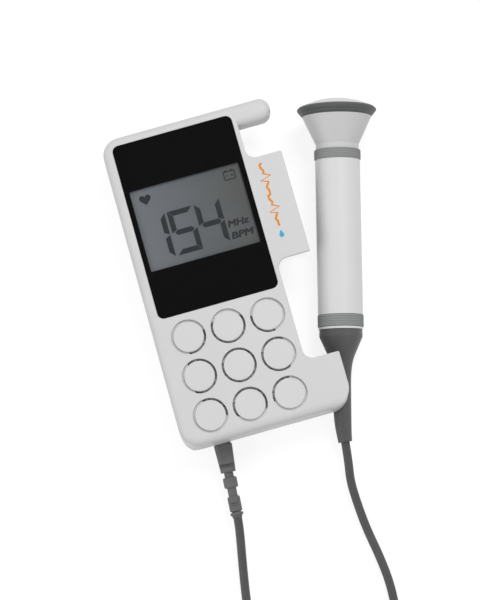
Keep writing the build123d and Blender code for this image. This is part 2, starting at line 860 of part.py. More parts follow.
def button_cap(y, length):
    """A cap flush in the flank, with a flange that keeps it from falling out and a stem."""
    side = Plane(origin=(flange_x, y, button_z), x_dir=(0, 1, 0), z_dir=(-1, 0, 0)).location
    reach = flange_x - flank_x - button_flush
    cap = side * extrude(RectangleRounded(length, button_height, 1.2), reach)
    rim = cap.faces().sort_by(Axis.X)[0].edges()
    cap = fillet(rim, 0.4)
    flange = block(
        (flange_x, y - length / 2 - 1.2, button_z - button_height / 2 - 0.9),
        (flange_x + button_flange, y + length / 2 + 1.2, button_z + button_height / 2 + 0.9),
    )
    return cap + flange


def plunger(y):
    """The switch actuator that the cap presses."""
    start = flange_x + button_flange
    end = switch_face_x + 1.1
    return rod(plunger_radius, (start, y, button_z), (end, y, button_z))


def tact_switches():
    """Three switch bodies, each with a socket for its actuator."""
    switches = []
    half = switch_size / 2
    for y in (power_button_y, volume_up_y, volume_down_y):
        body = block((switch_face_x, y - half, button_z - half), (switch_board_x, y + half, button_z + half))
        depth = 1.1 + button_travel + 0.1
        body -= rod(
            plunger_radius + plunger_clearance,
            (switch_face_x - 1, y, button_z),
            (switch_face_x + depth, y, button_z),
        )
        switches.append(body)
    return Compound(children=switches)


def switch_board():
    """The narrow board on edge behind the buttons."""
    low_y, high_y = switch_board_ends()
    return block(
        (switch_board_x, low_y - 0.8, rear_wall + 4), (switch_board_x + 0.8, high_y + 0.8, board_z - 0.4)
    )


def headphone_socket():
    """A 3.5 mm jack socket behind the end wall."""
    face = half_length - 0.6
    body = block(
        (jack_x - 3.1, half_length - wall - jack_length + 2, parting_height - 3),
        (jack_x + 3.1, half_length - wall - 2.2, parting_height + 3),
    )
    inner = half_length - wall - 3
    nose = rod(jack_nose_radius, (jack_x, inner, parting_height), (jack_x, face, parting_height))
    inner = face - jack_length + 1
    bore = rod(jack_bore_radius, (jack_x, inner, parting_height), (jack_x, face + 1, parting_height))
    return body + nose - bore


# ---------------------------------------------------------------- probe
def probe_frame():
    """The probe's own frame: origin at the boot's end, Z along the axis to the face."""
    lean, rise = radians(probe_lean), radians(probe_rise)
    axis = Vector(sin(lean) * cos(rise), cos(lean) * cos(rise), sin(rise))
    collar_middle = boot_length + end_cap_length + rear_collar_length / 2
    origin = Vector(*probe_axis_point) - axis * collar_middle
    across = Vector(cos(lean), -sin(lean), 0)
    return Plane(origin=origin, x_dir=across, z_dir=axis)


def boot_bend_place(height):
    """The boot's centre line near its tip: a section's offset and tilt at one height."""
    turn_radius = boot_bend_length / sin(radians(boot_bend_turn))
    angle = (boot_bend_length - height) / boot_bend_length * radians(boot_bend_turn)
    shift = turn_radius * (1 - cos(angle))
    drop = boot_bend_length - turn_radius * sin(angle)
    return Pos(shift, 0, drop) * Rot(0, -degrees(angle), 0)


def probe_boot():
    """The soft boot: a bell on the barrel's end that tapers into a long bent neck over the lead."""
    stations = [(0.0, boot_tip_radius), (4.7, 3.42), (9.4, 3.75), (boot_bend_length, boot_neck_radius)]
    tip = loft(Sketch() + [boot_bend_place(height) * Circle(radius) for height, radius in stations])
    profile = Spline(
        (boot_neck_radius, 0, boot_bend_length),
        (3.95, 0, 20.0),
        (4.05, 0, 27.0),
        (4.45, 0, 32.0),
        (5.3, 0, 36.0),
        (6.93, 0, 40.0),
        (8.07, 0, 42.6),
        (boot_bell_radius - 0.3, 0, 45.0),
        tangents=[(0, 0, 1), (0.42, 0, 1)],
    )
    shoulder = ThreePointArc(
        (boot_bell_radius - 0.3, 0, 45.0), (boot_bell_radius - 0.07, 0, 45.5), (boot_bell_radius, 0, 46.1)
    )
    rest = Polyline(
        (boot_bell_radius, 0, 46.1),
        (boot_bell_radius - 0.15, 0, boot_length),
        (0, 0, boot_length),
        (0, 0, boot_bend_length),
        (boot_neck_radius, 0, boot_bend_length),
    )
    bell = revolve(make_face(profile + shoulder + rest), Axis.Z)
    spigot = rod(barrel_radius - barrel_wall - slip, (0, 0, boot_length - 1), (0, 0, boot_length + 5))
    return tip + bell + spigot


def barrel_parts():
    """End cap, barrel tube and the two grey collars in their seats."""
    start = boot_length + end_cap_length
    end = start + barrel_length
    bore = barrel_radius - barrel_wall
    seat = barrel_radius - collar_seat
    rear_end = start + rear_collar_length
    front_start = end - front_collar_length
    end_cap = turned(
        [(bore, boot_length), (barrel_radius - 0.1, boot_length), (barrel_radius - 0.1, start), (bore, start)]
    )
    barrel = turned(
        [
            (bore, start),
            (seat, start),
            (seat, rear_end),
            (barrel_radius, rear_end),
            (barrel_radius, front_start),
            (seat, front_start),
            (seat, end),
            (bore, end),
        ]
    )
    collars = []
    lip = 0.35
    for low, high, collar_radius in (
        (start, rear_end, rear_collar_radius),
        (front_start, end, front_collar_radius),
    ):
        collars.append(
            turned(
                [
                    (seat, low),
                    (collar_radius - lip, low),
                    (collar_radius, low + lip),
                    (collar_radius, high - lip),
                    (collar_radius - lip, high),
                    (seat, high),
                ]
            )
        )
    return {
        "probe_end_cap": end_cap,
        "probe_barrel": barrel,
        "probe_rear_collar": collars[0],
        "probe_front_collar": collars[1],
    }


def head_parts():
    """The flared head, its grey face ring, the domed faceplate, crystals and backing."""
    start = boot_length + end_cap_length + barrel_length
    bore = barrel_radius - barrel_wall
    neck_end = start + neck_length
    cone_end = neck_end + cone_length
    ring_end = cone_end + face_ring_length
    ring_inner = cone_radius - cone_wall
    head = turned(
        [
            (bore - slip - 1.2, start - 6),
            (bore - slip, start - 6),
            (bore - slip, start),
            (neck_radius, start),
            (neck_radius, neck_end - 0.3),
            (neck_radius + 0.2, neck_end),
            (cone_radius, cone_end),
            (ring_inner, cone_end),
            (neck_radius - 1.6, neck_end),
            (bore - slip - 1.2, neck_end - 1.5),
        ]
    )
    widest = cone_end + face_ring_length * 0.72
    ring_profile = make_face(
        Polyline((ring_inner, 0, cone_end), (cone_radius, 0, cone_end), (face_radius - 0.25, 0, widest - 0.5))
        + ThreePointArc(
            (face_radius - 0.25, 0, widest - 0.5),
            (face_radius, 0, widest),
            (face_radius - 0.3, 0, widest + 0.6),
        )
        + Polyline(
            (face_radius - 0.3, 0, widest + 0.6),
            (dome_radius, 0, ring_end),
            (ring_inner, 0, ring_end),
            (ring_inner, 0, cone_end),
        )
    )
    ring = revolve(ring_profile, Axis.Z)
    plate_start = ring_end - 2.2
    dome_sphere = (dome_radius**2 + dome_height**2) / (2 * dome_height)
    cap = rod(dome_radius, (0, 0, ring_end), (0, 0, ring_end + dome_height + 1))
    cap &= Pos(0, 0, ring_end + dome_height - dome_sphere) * Sphere(dome_sphere)
    faceplate = cap + rod(ring_inner, (0, 0, plate_start), (0, 0, ring_end))
    crystal_end = plate_start
    disc = rod(crystal_radius, (0, 0, crystal_end - crystal_thickness), (0, 0, crystal_end))
    halves = [
        disc & block((-20, crystal_gap / 2, 0), (20, 20, 200)),
        disc & block((-20, -20, 0), (20, -crystal_gap / 2, 200)),
    ]
    backing_end = crystal_end - crystal_thickness
    backing = rod(crystal_radius + 1.0, (0, 0, backing_end - 3.0), (0, 0, backing_end))
    backing += rod(crystal_radius - 2.0, (0, 0, backing_end - backing_length), (0, 0, backing_end - 2.9))
    return {
        "probe_head": head,
        "probe_face_ring": ring,
        "probe_faceplate": faceplate,
        "crystals": Compound(children=halves),
        "crystal_backing": backing,
    }


def probe_electronics():
    """The narrow board in the barrel, held by two foam rings, and what is soldered to it."""
    start = boot_length + end_cap_length + rear_collar_length + probe_board_clear
    end = boot_length + end_cap_length + barrel_length - front_collar_length - probe_board_short
    half, thick = probe_board_width / 2, probe_board_thickness / 2
    board = block((-half, -thick, start), (half, thick, end))
    rings = []
    for height in (start + foam_low, end - foam_high):
        ring = rod(barrel_radius - barrel_wall - slip, (0, 0, height), (0, 0, height + foam_length))
        rings.append(ring - block((-half, -thick, 0), (half, thick, end)))
    parts = []
    width, rise, length = probe_chip
    for step in range(4):
        height = start + probe_chip_start + step * probe_chip_pitch
        parts.append(block((-width / 2, thick, height), (width / 2, thick + rise, height + length)))
    return {
        "probe_board": board,
        "probe_board_rings": Compound(children=rings),
        "probe_board_parts": Compound(children=parts),
    }


# ---------------------------------------------------------------- lead
def relief_frame():
    """The strain relief's frame: origin on the end wall, Z out along the lead."""
    lean, drop = radians(relief_lean), radians(relief_drop)
    axis = Vector(-sin(lean) * cos(drop), -cos(lean) * cos(drop), -sin(drop))
    return Plane(origin=(relief_x, -half_length, relief_z), x_dir=(cos(lean), -sin(lean), 0), z_dir=axis)


def lead_strain_relief():
    """The moulded relief: a grommet in the wall, a tapered block, two notched lobes and an end flange."""
    wide = Pos(0, 0, 0.1) * RectangleRounded(8.0, 7.6, 2.2)
    narrow = Pos(0, 0, 12.2) * RectangleRounded(6.5, 5.9, 1.9)
    taper = loft(Sketch() + [wide, narrow])
    sleeve_radius = lead_diameter / 2 + 0.1
    relief = taper + rod(sleeve_radius, (0, 0, 10), (0, 0, relief_length - 1.0))
    lobes = ((14.4, 4.7, 3.05), (22.8, 6.7, 2.75))
    for start, length, radius in lobes:
        lobe = rod(radius, (0, 0, start), (0, 0, start + length))
        lobe = fillet(lobe.edges(), 0.7)
        relief += lobe
    relief += rod(2.85, (0, 0, relief_length - 2.2), (0, 0, relief_length - 1.0))
    relief += rod(lead_diameter / 2 + 0.3, (0, 0, relief_length - 2.0), (0, 0, relief_length))
    for height, side in ((8.6, 1), (16.2, -1), (25.6, 1)):
        near, far = sorted((side * 1.9, side * 5.0))
        relief -= block((-5, near, height), (5, far, height + 1.6))
    relief = relief_frame().location * relief
    inner = -half_length + rear_end_wall
    relief += rod(grommet_radius, (relief_x, -half_length - 0.6, relief_z), (relief_x, inner + 1.0, relief_z))
    return relief + rod(grommet_flange_radius, (relief_x, inner, relief_z), (relief_x, inner + 1.6, relief_z))


def coil_shape():
    """The closed outer form of the wound lead."""
    width = coil_columns * lead_diameter
    height = coil_layers * lead_diameter
    section = RectangleRounded(width, height, lead_diameter / 2 - 0.05)
    section = Plane.XZ.location * Pos(coil_middle_radius, height / 2) * section
    return Pos(coil_x, coil_y, coil_height) * revolve(section, Axis.Z)


def coil_tie():
    """A soft band round the coil."""
    width = coil_columns * lead_diameter + 0.85
    height = coil_layers * lead_diameter + 0.04
    outer = RectangleRounded(width + 2 * tie_thickness, height + 2 * tie_thickness, 2.2)
    band = extrude(outer - RectangleRounded(width, height, 1.5), tie_width / 2, both=True)
    upright = Plane(origin=(coil_middle_radius, 0, height / 2), x_dir=(1, 0, 0), z_dir=(0, -1, 0))
    turn = Rot(0, 0, tie_angle)
    return Pos(coil_x, coil_y, coil_height - 0.02) * turn * upright.location * band


def coil_end(angle, layer):
    """Where the lead joins the coil's outer turn."""
    radius = coil_middle_radius + (coil_columns - 1) / 2 * lead_diameter
    turn = radians(angle)
    height = (layer + 0.5) * lead_diameter + coil_height
    return (coil_x + radius * cos(turn), coil_y + radius * sin(turn), height)


def tube_along(points, label):
    """A round tube of straight runs joined by the largest tangent arcs."""
    radii = []
    for before, here, after in zip(points, points[1:], points[2:]):
        first = Vector(*here) - Vector(*before)
        second = Vector(*after) - Vector(*here)
        half_turn = radians(first.get_angle(second)) / 2
        radii.append(0.45 * min(first.length, second.length) / tan(half_turn))
    path = FilletPolyline(*points, radius=radii)
    direction = path % 0
    section = Plane(origin=path @ 0, z_dir=direction).location * Circle(lead_diameter / 2)
    tube = sweep(section, path=path)
    expected = pi * (lead_diameter / 2) ** 2 * path.length
    print(label, "radii", [round(radius) for radius in radii], "length", round(path.length, 1))
    print(label, "volume over section times length", round(tube.volume / expected, 4))
    return tube


def lead_parts():
    """Two tubes of the lead, the coil and its tie."""
    relief = relief_frame()
    relief_end = relief.origin + relief.z_dir * relief_length
    boot_tip = (probe_frame().location * boot_bend_place(0)).position
    boot_way = Plane(probe_frame().location * boot_bend_place(0)).z_dir
    first = [relief_end, relief_end + relief.z_dir * relief_exit_run, *unit_route, coil_end(coil_in_angle, 0)]
    second = [coil_end(coil_out_angle, 1), *probe_route, boot_tip - boot_way * boot_exit_run, boot_tip]
    tubes = {
        "lead_from_unit": tube_along(first, "lead_from_unit"),
        "lead_to_probe": tube_along(second, "lead_to_probe"),
    }
    coil = coil_shape() - tubes["lead_from_unit"] - tubes["lead_to_probe"]
    return {**tubes, "lead_coil": coil, "coil_tie": coil_tie()}


def build():
    """Model every node and write it."""
    form = outer_form()
    groups = [split_shells(front_housing(form), rear_housing(form)), speaker_parts(), display_parts()]
    write(battery_door(form), "battery_door")
    write(housing_screws(), "housing_screws")
    write(grille_insert(), "grille_insert")
    write(main_board(), "main_board")
    write(board_components(), "board_components")
    write(battery_cells(), "battery_cells")
    write(battery_contacts(), "battery_contacts")
    write(button_cap(power_button_y, power_button_length), "power_button")
    write(button_cap(volume_up_y, volume_button_length), "volume_up_button")
    write(button_cap(volume_down_y, volume_button_length), "volume_down_button")
    write(plunger(power_button_y), "power_plunger")
    write(plunger(volume_up_y), "volume_up_plunger")
    write(plunger(volume_down_y), "volume_down_plunger")
    write(tact_switches(), "tact_switches")
    write(switch_board(), "switch_board")
    write(headphone_socket(), "headphone_socket")
    write(lead_strain_relief(), "lead_strain_relief")
    groups.append(lead_parts())
    for group in groups:
        for node, shape in group.items():
            write(shape, node)
    place = probe_frame().location
    write(place * probe_boot(), "probe_boot")
    for group in (barrel_parts(), head_parts(), probe_electronics()):
        for node, shape in group.items():
            write(place * shape, node)
    print(len(written), "nodes")


build()
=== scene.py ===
"""Fetal doppler monitor: the looks of the hand unit, the probe and the lead between them."""

import logging
import math
from dataclasses import dataclass
from enum import Enum

import bpy
from mathutils import Matrix, Vector


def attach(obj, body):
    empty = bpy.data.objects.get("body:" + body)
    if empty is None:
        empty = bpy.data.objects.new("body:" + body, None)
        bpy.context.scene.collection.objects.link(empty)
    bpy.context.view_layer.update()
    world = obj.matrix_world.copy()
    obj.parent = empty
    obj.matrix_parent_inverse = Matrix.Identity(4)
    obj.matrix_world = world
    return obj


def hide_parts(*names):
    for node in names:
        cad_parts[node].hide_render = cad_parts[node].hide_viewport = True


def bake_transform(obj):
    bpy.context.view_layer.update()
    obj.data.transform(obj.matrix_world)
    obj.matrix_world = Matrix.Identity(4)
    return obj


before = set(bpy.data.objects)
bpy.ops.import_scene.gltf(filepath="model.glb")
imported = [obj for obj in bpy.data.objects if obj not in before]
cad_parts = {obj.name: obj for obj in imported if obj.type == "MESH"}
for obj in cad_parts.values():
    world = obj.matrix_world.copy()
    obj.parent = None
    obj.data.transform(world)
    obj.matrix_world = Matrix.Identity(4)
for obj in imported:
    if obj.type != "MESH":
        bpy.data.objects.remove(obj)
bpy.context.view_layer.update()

LOG = logging.getLogger("doppler")
MM = 0.001

Colour = tuple[int, int, int]
Point = tuple[float, float, float]
Pair = tuple[float, float]
Rim = list[Pair]
Piece = bpy.types.Object
Node = bpy.types.Node
Socket = bpy.types.NodeSocket


class Body(Enum):
    """The bodies that pieces ride on."""

    UNIT = "unit"
    POWER = "power"
    VOLUME_UP = "volume_up"
    VOLUME_DOWN = "volume_down"


class Course(Enum):
    """How a line goes through its points."""

    STRAIGHT = "POLY"
    SMOOTH = "NURBS"


def linear(colour: Colour) -> tuple[float, float, float, float]:
    """Turns a display colour into linear light.

    Args:
        colour: red, green and blue from 0 to 255.

    Returns:
        Linear red, green, blue and an alpha of 1.
    """
    parts = [value / 255 for value in colour]
    parts = [value / 12.92 if value <= 0.04045 else ((value + 0.055) / 1.055) ** 2.4 for value in parts]
    return parts[0], parts[1], parts[2], 1.0


def grey(level: float) -> tuple[float, float, float, float]:
    """A plain grey of that level in linear light."""
    return level, level, level, 1.0


def metres(point: Point) -> Vector:
    """A place given in millimetres, in metres."""
    return Vector(point) * MM


# ---------------------------------------------------------------- node trees


class NodePen:
    """Adds nodes to one tree and joins their sockets."""

    def __init__(self, tree: bpy.types.NodeTree) -> None:
        """Keeps the tree that is drawn in."""
        self.tree = tree

    def feed(self, socket: Socket, value: object) -> None:
        """Joins an input to the output that feeds it, or sets its value.

        Args:
            socket: the input.
            value: an output socket or a plain value.
        """
        if isinstance(value, Socket):
            self.tree.links.new(value, socket)
        else:
            socket.default_value = value

    def add(self, kind: str, inputs: dict | None = None, **settings: object) -> Node:
        """Adds one node.

        Args:
            kind: the node's type, without its ShaderNode prefix where it has one.
            inputs: input name or number to a value, or to the output socket that feeds it.
            settings: properties of the node.

        Returns:
            The new node.
        """
        node = self.tree.nodes.new(kind if kind.startswith("Node") else "ShaderNode" + kind)
        for key, value in settings.items():
            setattr(node, key, value)
        for key, value in (inputs or {}).items():
            self.feed(node.inputs[key], value)
        return node

    def maths(self, operation: str, first: object, second: object = 0.0) -> Socket:
        """Adds a Math node of that operation and gives its output."""
        return self.add("Math", {0: first, 1: second}, operation=operation).outputs[0]

    def spread(
        self, value: Socket, low: object, high: object, start: float = 0.0, end: float = 1.0
    ) -> Socket:
        """Maps a value from start and end to low and high, and gives the result."""
        inputs = {"Value": value, "From Min": start, "From Max": end, "To Min": low, "To Max": high}
        return self.add("MapRange", inputs).outputs["Result"]

    def noise(self, place: Socket, scale: object, detail: float, roughness: float = 0.5) -> Socket:
        """Adds a noise of that scale, detail and roughness, and gives its output."""
        inputs = {"Vector": place, "Scale": scale, "Detail": detail, "Roughness": roughness}
        return self.add("TexNoise", inputs).outputs["Fac"]

    def blend(self, amount: object, first: object, second: object) -> Socket:
        """Goes from the first colour to the second by an amount, and gives the result."""
        inputs = {0: amount, 6: first, 7: second}
        return self.add("Mix", inputs, data_type="RGBA", clamp_factor=True).outputs[2]

    def shade(self, value: Socket, colour: object) -> Socket:
        """Makes a colour lighter or darker by a factor, and gives the result."""
        return self.add("HueSaturation", {"Value": value, "Color": colour}).outputs["Color"]


class Effect(NodePen):
    """A shader node group with named inputs and outputs, made once."""

    made: dict[str, bpy.types.NodeTree] = {}
    kinds: dict[str, str] = {"Vector": "Vector", "Colour": "Color", "Dust": "Color"}

    def __init__(self, name: str, inputs: str, outputs: str) -> None:
        """Starts the group.

        Args:
            name: the group's name.
            inputs: the names of its inputs after the vector, with spaces between them.
            outputs: the names of its outputs.
        """
        super().__init__(bpy.data.node_groups.new(name, "ShaderNodeTree"))
        for side, labels in (("INPUT", "Vector " + inputs), ("OUTPUT", outputs)):
            for label in labels.split():
                kind = "NodeSocket" + Effect.kinds.get(label, "Float")
                self.tree.interface.new_socket(label, in_out=side, socket_type=kind)
        self.inside = self.add("NodeGroupInput").outputs
        self.place = self.inside["Vector"]
        self.result = self.add("NodeGroupOutput").inputs
        Effect.made[name] = self.tree

    def give(self, **values: Socket) -> None:
        """Feeds the group's outputs by name."""
        for label, socket in values.items():
            self.feed(self.result[label], socket)


def make_mould_grain() -> None:
    """Fine spark-eroded grain of a moulded face: rounded cells with a little noise."""
    pen = Effect("mould_grain", "Cells", "Height")
    size = pen.inside["Cells"]
    cells = pen.add("TexVoronoi", {"Vector": pen.place, "Scale": size}, feature="SMOOTH_F1")
    noise = pen.noise(pen.place, pen.maths("MULTIPLY", size, 1.9), 3.0)
    pen.give(Height=pen.maths("ADD", cells.outputs["Distance"], pen.maths("MULTIPLY", noise, 0.55)))


def make_soft_mottle() -> None:
    """Slow changes of shade, as a large moulded face shows."""
    pen = Effect("soft_mottle", "Colour Spread Size", "Colour")
    low, high = (pen.maths(way, 1.0, pen.inside["Spread"]) for way in ("SUBTRACT", "ADD"))
    level = pen.spread(pen.noise(pen.place, pen.inside["Size"], 2.0), low, high, 0.3, 0.7)
    pen.give(Colour=pen.shade(level, pen.inside["Colour"]))


def make_handling() -> None:
    """Traces of use: faint fingerprints as rougher spots, and dust that lightens the colour."""
    pen = Effect("handling", "Colour Dust Amount Roughness", "Colour Roughness")
    spots = pen.noise(pen.place, 95.0, 5.0, 0.62)
    fine = pen.noise(pen.place, 900.0, 3.0)
    worn = pen.spread(spots, 0.0, 1.0, 0.48, 0.72)
    speck = pen.spread(fine, 0.0, 1.0, 0.55, 0.78)
    mask = pen.maths("MULTIPLY", pen.maths("MAXIMUM", worn, speck), pen.inside["Amount"])
    rise = pen.maths("MULTIPLY", pen.maths("SUBTRACT", spots, 0.5), 0.25)
    pen.give(
        Colour=pen.blend(mask, pen.inside["Colour"], pen.inside["Dust"]),
        Roughness=pen.maths("ADD", pen.inside["Roughness"], rise),
    )


def make_brushing() -> None:
    """Fine parallel lines of drawn or turned metal, along the vector's X."""
    pen = Effect("brushing", "Lines", "Height")
    thin = pen.add("Mapping", {"Vector": pen.place, "Scale": (0.04, 1.0, 1.0)}).outputs[0]
    pen.give(Height=pen.noise(thin, pen.inside["Lines"], 2.0))


def make_weave() -> None:
    """A plain weave of threads that pass over and under each other."""
    pen = Effect("weave", "Pitch", "Height Gap")
    parts = pen.add("SeparateXYZ", {0: pen.place}).outputs
    waves = []
    for axis in (0, 1):
        turns = pen.maths("DIVIDE", parts[axis], pen.inside["Pitch"])
        waves.append(pen.maths("SINE", pen.maths("MULTIPLY", turns, math.pi)))
    crossing = pen.maths("MULTIPLY", *waves)
    threads = pen.maths("MAXIMUM", *(pen.maths("ABSOLUTE", wave) for wave in waves))
    pen.give(
        Height=pen.maths("ADD", threads, pen.maths("MULTIPLY", crossing, 0.4)),
        Gap=pen.spread(threads, 1.0, 0.0, 0.25, 0.5),
    )


def make_copper_lines() -> None:
    """Stepped copper lines of a printed board: cells whose borders run along both axes."""
    pen = Effect("copper_lines", "Pitch", "Height")
    inputs = {"Vector": pen.place, "Scale": pen.inside["Pitch"], "Randomness": 0.75}
    near, next_near = (
        pen.add("TexVoronoi", inputs, distance="CHEBYCHEV", feature=feature).outputs["Distance"]
        for feature in ("F1", "F2")
    )
    pen.give(Height=pen.spread(pen.maths("SUBTRACT", next_near, near), 1.0, 0.0, 0.05, 0.09))


EFFECTS = (make_mould_grain, make_soft_mottle, make_handling, make_brushing, make_weave, make_copper_lines)

# ---------------------------------------------------------------- finishes


class Draft(NodePen):
    """The node tree of one finish, with its shader and the object coordinates."""

    def __init__(self, label: str, finish: "Finish") -> None:
        """Starts the material with the finish's plain values.

        Args:
            label: the material's name.
            finish: the finish.
        """
        material = bpy.data.materials.new(label)
        material.use_nodes = True
        material.diffuse_color = linear(finish.colour)
        super().__init__(material.node_tree)
        self.finish = finish
        self.shader = self.tree.nodes["Principled BSDF"]
        self.place = self.add("TexCoord").outputs["Object"]
        plain = {"Roughness": finish.roughness, "Specular IOR Level": finish.specular}
        self.set({"Base Color": linear(finish.colour), **plain})

    def set(self, inputs: dict[str, object]) -> None:
        """Sets or feeds inputs of the shader by name."""
        for label, value in inputs.items():
            self.feed(self.shader.inputs[label], value)

    def effect(self, name: str, **inputs: object) -> bpy.types.bpy_prop_collection:
        """Places one of the shared effects with its own values, and gives its outputs."""
        return self.add("Group", {"Vector": self.place, **inputs}, node_tree=Effect.made[name]).outputs

    def grain(self, cells: float) -> Socket:
        """The height of a mould grain with that many cells to the metre."""
        return self.effect("mould_grain", Cells=cells)["Height"]

    def mottle(self, spread: float, size: float, colour: Socket | None = None) -> Socket:
        """Lays slow changes of shade over a colour.

        Args:
            spread: how much lighter and darker the colour gets.
            size: how fine the changes are.
            colour: the colour; the finish's own where none is given.

        Returns:
            The mottled colour.
        """
        inputs = {"Colour": colour or linear(self.finish.colour), "Spread": spread, "Size": size}
        return self.effect("soft_mottle", **inputs)["Colour"]

    def wear(self, colour: object, dust: Colour, amount: float) -> None:
        """Lays traces of handling over a colour and the finish's roughness.

        Args:
            colour: the clean colour.
            dust: the colour of the dust or the stains.
            amount: how much of it there is.
        """
        inputs = {"Colour": colour, "Dust": linear(dust), "Amount": amount}
        worn = self.effect("handling", Roughness=self.finish.roughness, **inputs)
        self.set({"Base Color": worn["Colour"], "Roughness": worn["Roughness"]})

    def bump(self, height: Socket, depth: float, strength: float) -> None:
        """Lays a relief over the one that the shader has already.

        Args:
            height: the height from 0 to about 1.
            depth: how deep a height of 1 is, in millimetres.
            strength: how much of it counts.
        """
        inputs = {"Height": height, "Distance": depth * MM, "Strength": strength}
        links = self.shader.inputs["Normal"].links
        if links:
            inputs["Normal"] = links[0].from_socket
        self.set({"Normal": self.add("Bump", inputs).outputs[0]})


@dataclass(frozen=True)
class Finish:
    """What all finishes share: a name, a colour, a roughness and a specular level."""

    name: str
    colour: Colour
    roughness: float = 0.4
    specular: float = 0.5

    def material(self) -> bpy.types.Material:
        """Makes the finish's material on its first use, under a name that no CAD piece has.

        Returns:
            The material.
        """
        label = f"{self.name}_finish"
        if label not in bpy.data.materials:
            self.draw(Draft(label, self))
        return bpy.data.materials[label]

    def draw(self, draft: Draft) -> None:
        """Draws the node tree; each finish has its own."""
        raise NotImplementedError


@dataclass(frozen=True)
class Plastic(Finish):
    """Moulded plastic: mould grain, slow shade changes and traces of handling."""

    cells: float = 2600.0
    depth: float = 0.03
    strength: float = 0.35
    spread: float = 0.012
    dust: float = 0.04
    dust_colour: Colour = (192, 192, 193)

    def draw(self, draft: Draft) -> None:
        """Draws the grain, the mottle and the handling."""
        draft.wear(draft.mottle(self.spread, size=40.0), self.dust_colour, self.dust)
        draft.bump(draft.grain(self.cells), self.depth, self.strength)


@dataclass(frozen=True)
class Rubber(Plastic):
    """Soft moulded rubber: a plastic with a faint sheen."""

    sheen: float = 0.15

    def draw(self, draft: Draft) -> None:
        """Adds the sheen to the plastic's tree."""
        super().draw(draft)
        draft.set({"Sheen Weight": self.sheen, "Sheen Roughness": 0.6})


@dataclass(frozen=True)
class RibbedBand(Plastic):
    """A soft band with fine ribs round the probe's axis, with painted shade in its grooves."""

    pitch: float = 1.35
    rib: float = 0.12
    painted_groove_shade: float = 0.8
    axis: Point = (0.2545, 0.9646, 0.0691)

    def draw(self, draft: Draft) -> None:
        """Adds the ribs, as rings along the probe's axis, to the plastic's tree, and paints shade into their
        grooves.

        Args:
            draft: the material's nodes.
        """
        super().draw(draft)
        along = draft.add("VectorMath", {0: draft.place, 1: self.axis}, operation="DOT_PRODUCT")
        turns = draft.maths("MULTIPLY", along.outputs["Value"], 2 * math.pi / (self.pitch * MM))
        ribs = draft.spread(draft.maths("SINE", turns), 0.0, 1.0, -0.4, 0.9)
        colour = draft.shader.inputs["Base Color"].links[0].from_socket
        # painted shade: the colour is darkened where the ribs are low, in the grooves between them
        draft.set({"Base Color": draft.shade(draft.spread(ribs, self.painted_groove_shade, 1.0), colour)})
        draft.bump(ribs, self.rib, strength=0.8)


@dataclass(frozen=True)
class Metal(Finish):
    """Drawn, turned or stamped metal with fine lines and a little stain."""

    lines: float = 4000.0
    stain: Colour = (92, 90, 86)
    stained: float = 0.25

    def draw(self, draft: Draft) -> None:
        """Draws the lines and the stains.

        Args:
            draft: the material's nodes.
        """
        draft.set({"Metallic": 1.0})
        draft.wear(linear(self.colour), self.stain, self.stained)
        draft.bump(draft.effect("brushing", Lines=self.lines)["Height"], depth=0.02, strength=0.3)


@dataclass(frozen=True)
class ClearWindow(Finish):
    """The clear front window: a smooth polished sheet that lets light and shadow rays through."""

    smeared: float = 0.8
    passed: float = 0.94
    wipe: Point = (60.0, 14.0, 60.0)

    def draw(self, draft: Draft) -> None:
        """Draws glass with faint wipe marks, and lets the light reach what is behind.

        Args:
            draft: the material's nodes.
        """
        draft.set({"Transmission Weight": 1.0, "IOR": 1.49})
        turned = {"Vector": draft.place, "Scale": self.wipe, "Rotation": (0.0, 0.0, 0.5)}
        wipes = draft.noise(draft.add("Mapping", turned).outputs[0], 1.0, 4.0)
        marks = draft.spread(wipes, 0.0, 0.06, 0.4, 0.7)
        draft.set({"Base Color": draft.blend(marks, linear(self.colour), grey(self.smeared))})
        rays = draft.add("LightPath").outputs
        open_rays = draft.maths("MAXIMUM", rays["Is Shadow Ray"], rays["Is Diffuse Ray"])
        clear = draft.add("BsdfTransparent", {"Color": grey(self.passed)})
        both = {0: open_rays, 1: draft.shader.outputs[0], 2: clear.outputs[0]}
        surface = draft.tree.nodes["Material Output"].inputs["Surface"]
        draft.feed(surface, draft.add("MixShader", both).outputs[0])


@dataclass(frozen=True)
class DisplayGlass(Finish):
    """The display's glass, with painted light: cool and pale to the left, darker and warmer to the right."""

    left: Colour = (125, 130, 135)
    right: Colour = (96, 98, 96)
    half_width: float = 24.5
    centre: float = 1.3

    def draw(self, draft: Draft) -> None:
        """Draws the painted light across the glass and the fine grain of its polariser.

        Args:
            draft: the material's nodes.
        """
        parts = draft.add("SeparateXYZ", {0: draft.place}).outputs
        low, high = (self.centre - self.half_width) * MM, (self.centre + self.half_width) * MM
        # painted light: a ramp from the paler left through the middle colour to the darker right
        ramp = draft.add("ValToRGB", {0: draft.spread(parts[0], 0.0, 1.0, low, high)})
        stops = ramp.color_ramp.elements
        stops[0].color = linear(self.left)
        stops[1].color = linear(self.right)
        stops.new(0.5).color = linear(self.colour)
        draft.set({"Base Color": draft.mottle(spread=0.03, size=60.0, colour=ramp.outputs[0])})
        draft.bump(draft.grain(5200.0), depth=0.004, strength=0.2)


@dataclass(frozen=True)
class Ink(Finish):
    """Printed ink with slightly uneven cover."""

    uneven: float = 0.05

    def draw(self, draft: Draft) -> None:
        """Draws the uneven cover and a fine orange-peel."""
        draft.set({"Base Color": draft.mottle(self.uneven, size=420.0)})
        draft.bump(draft.grain(3600.0), depth=0.006, strength=0.25)


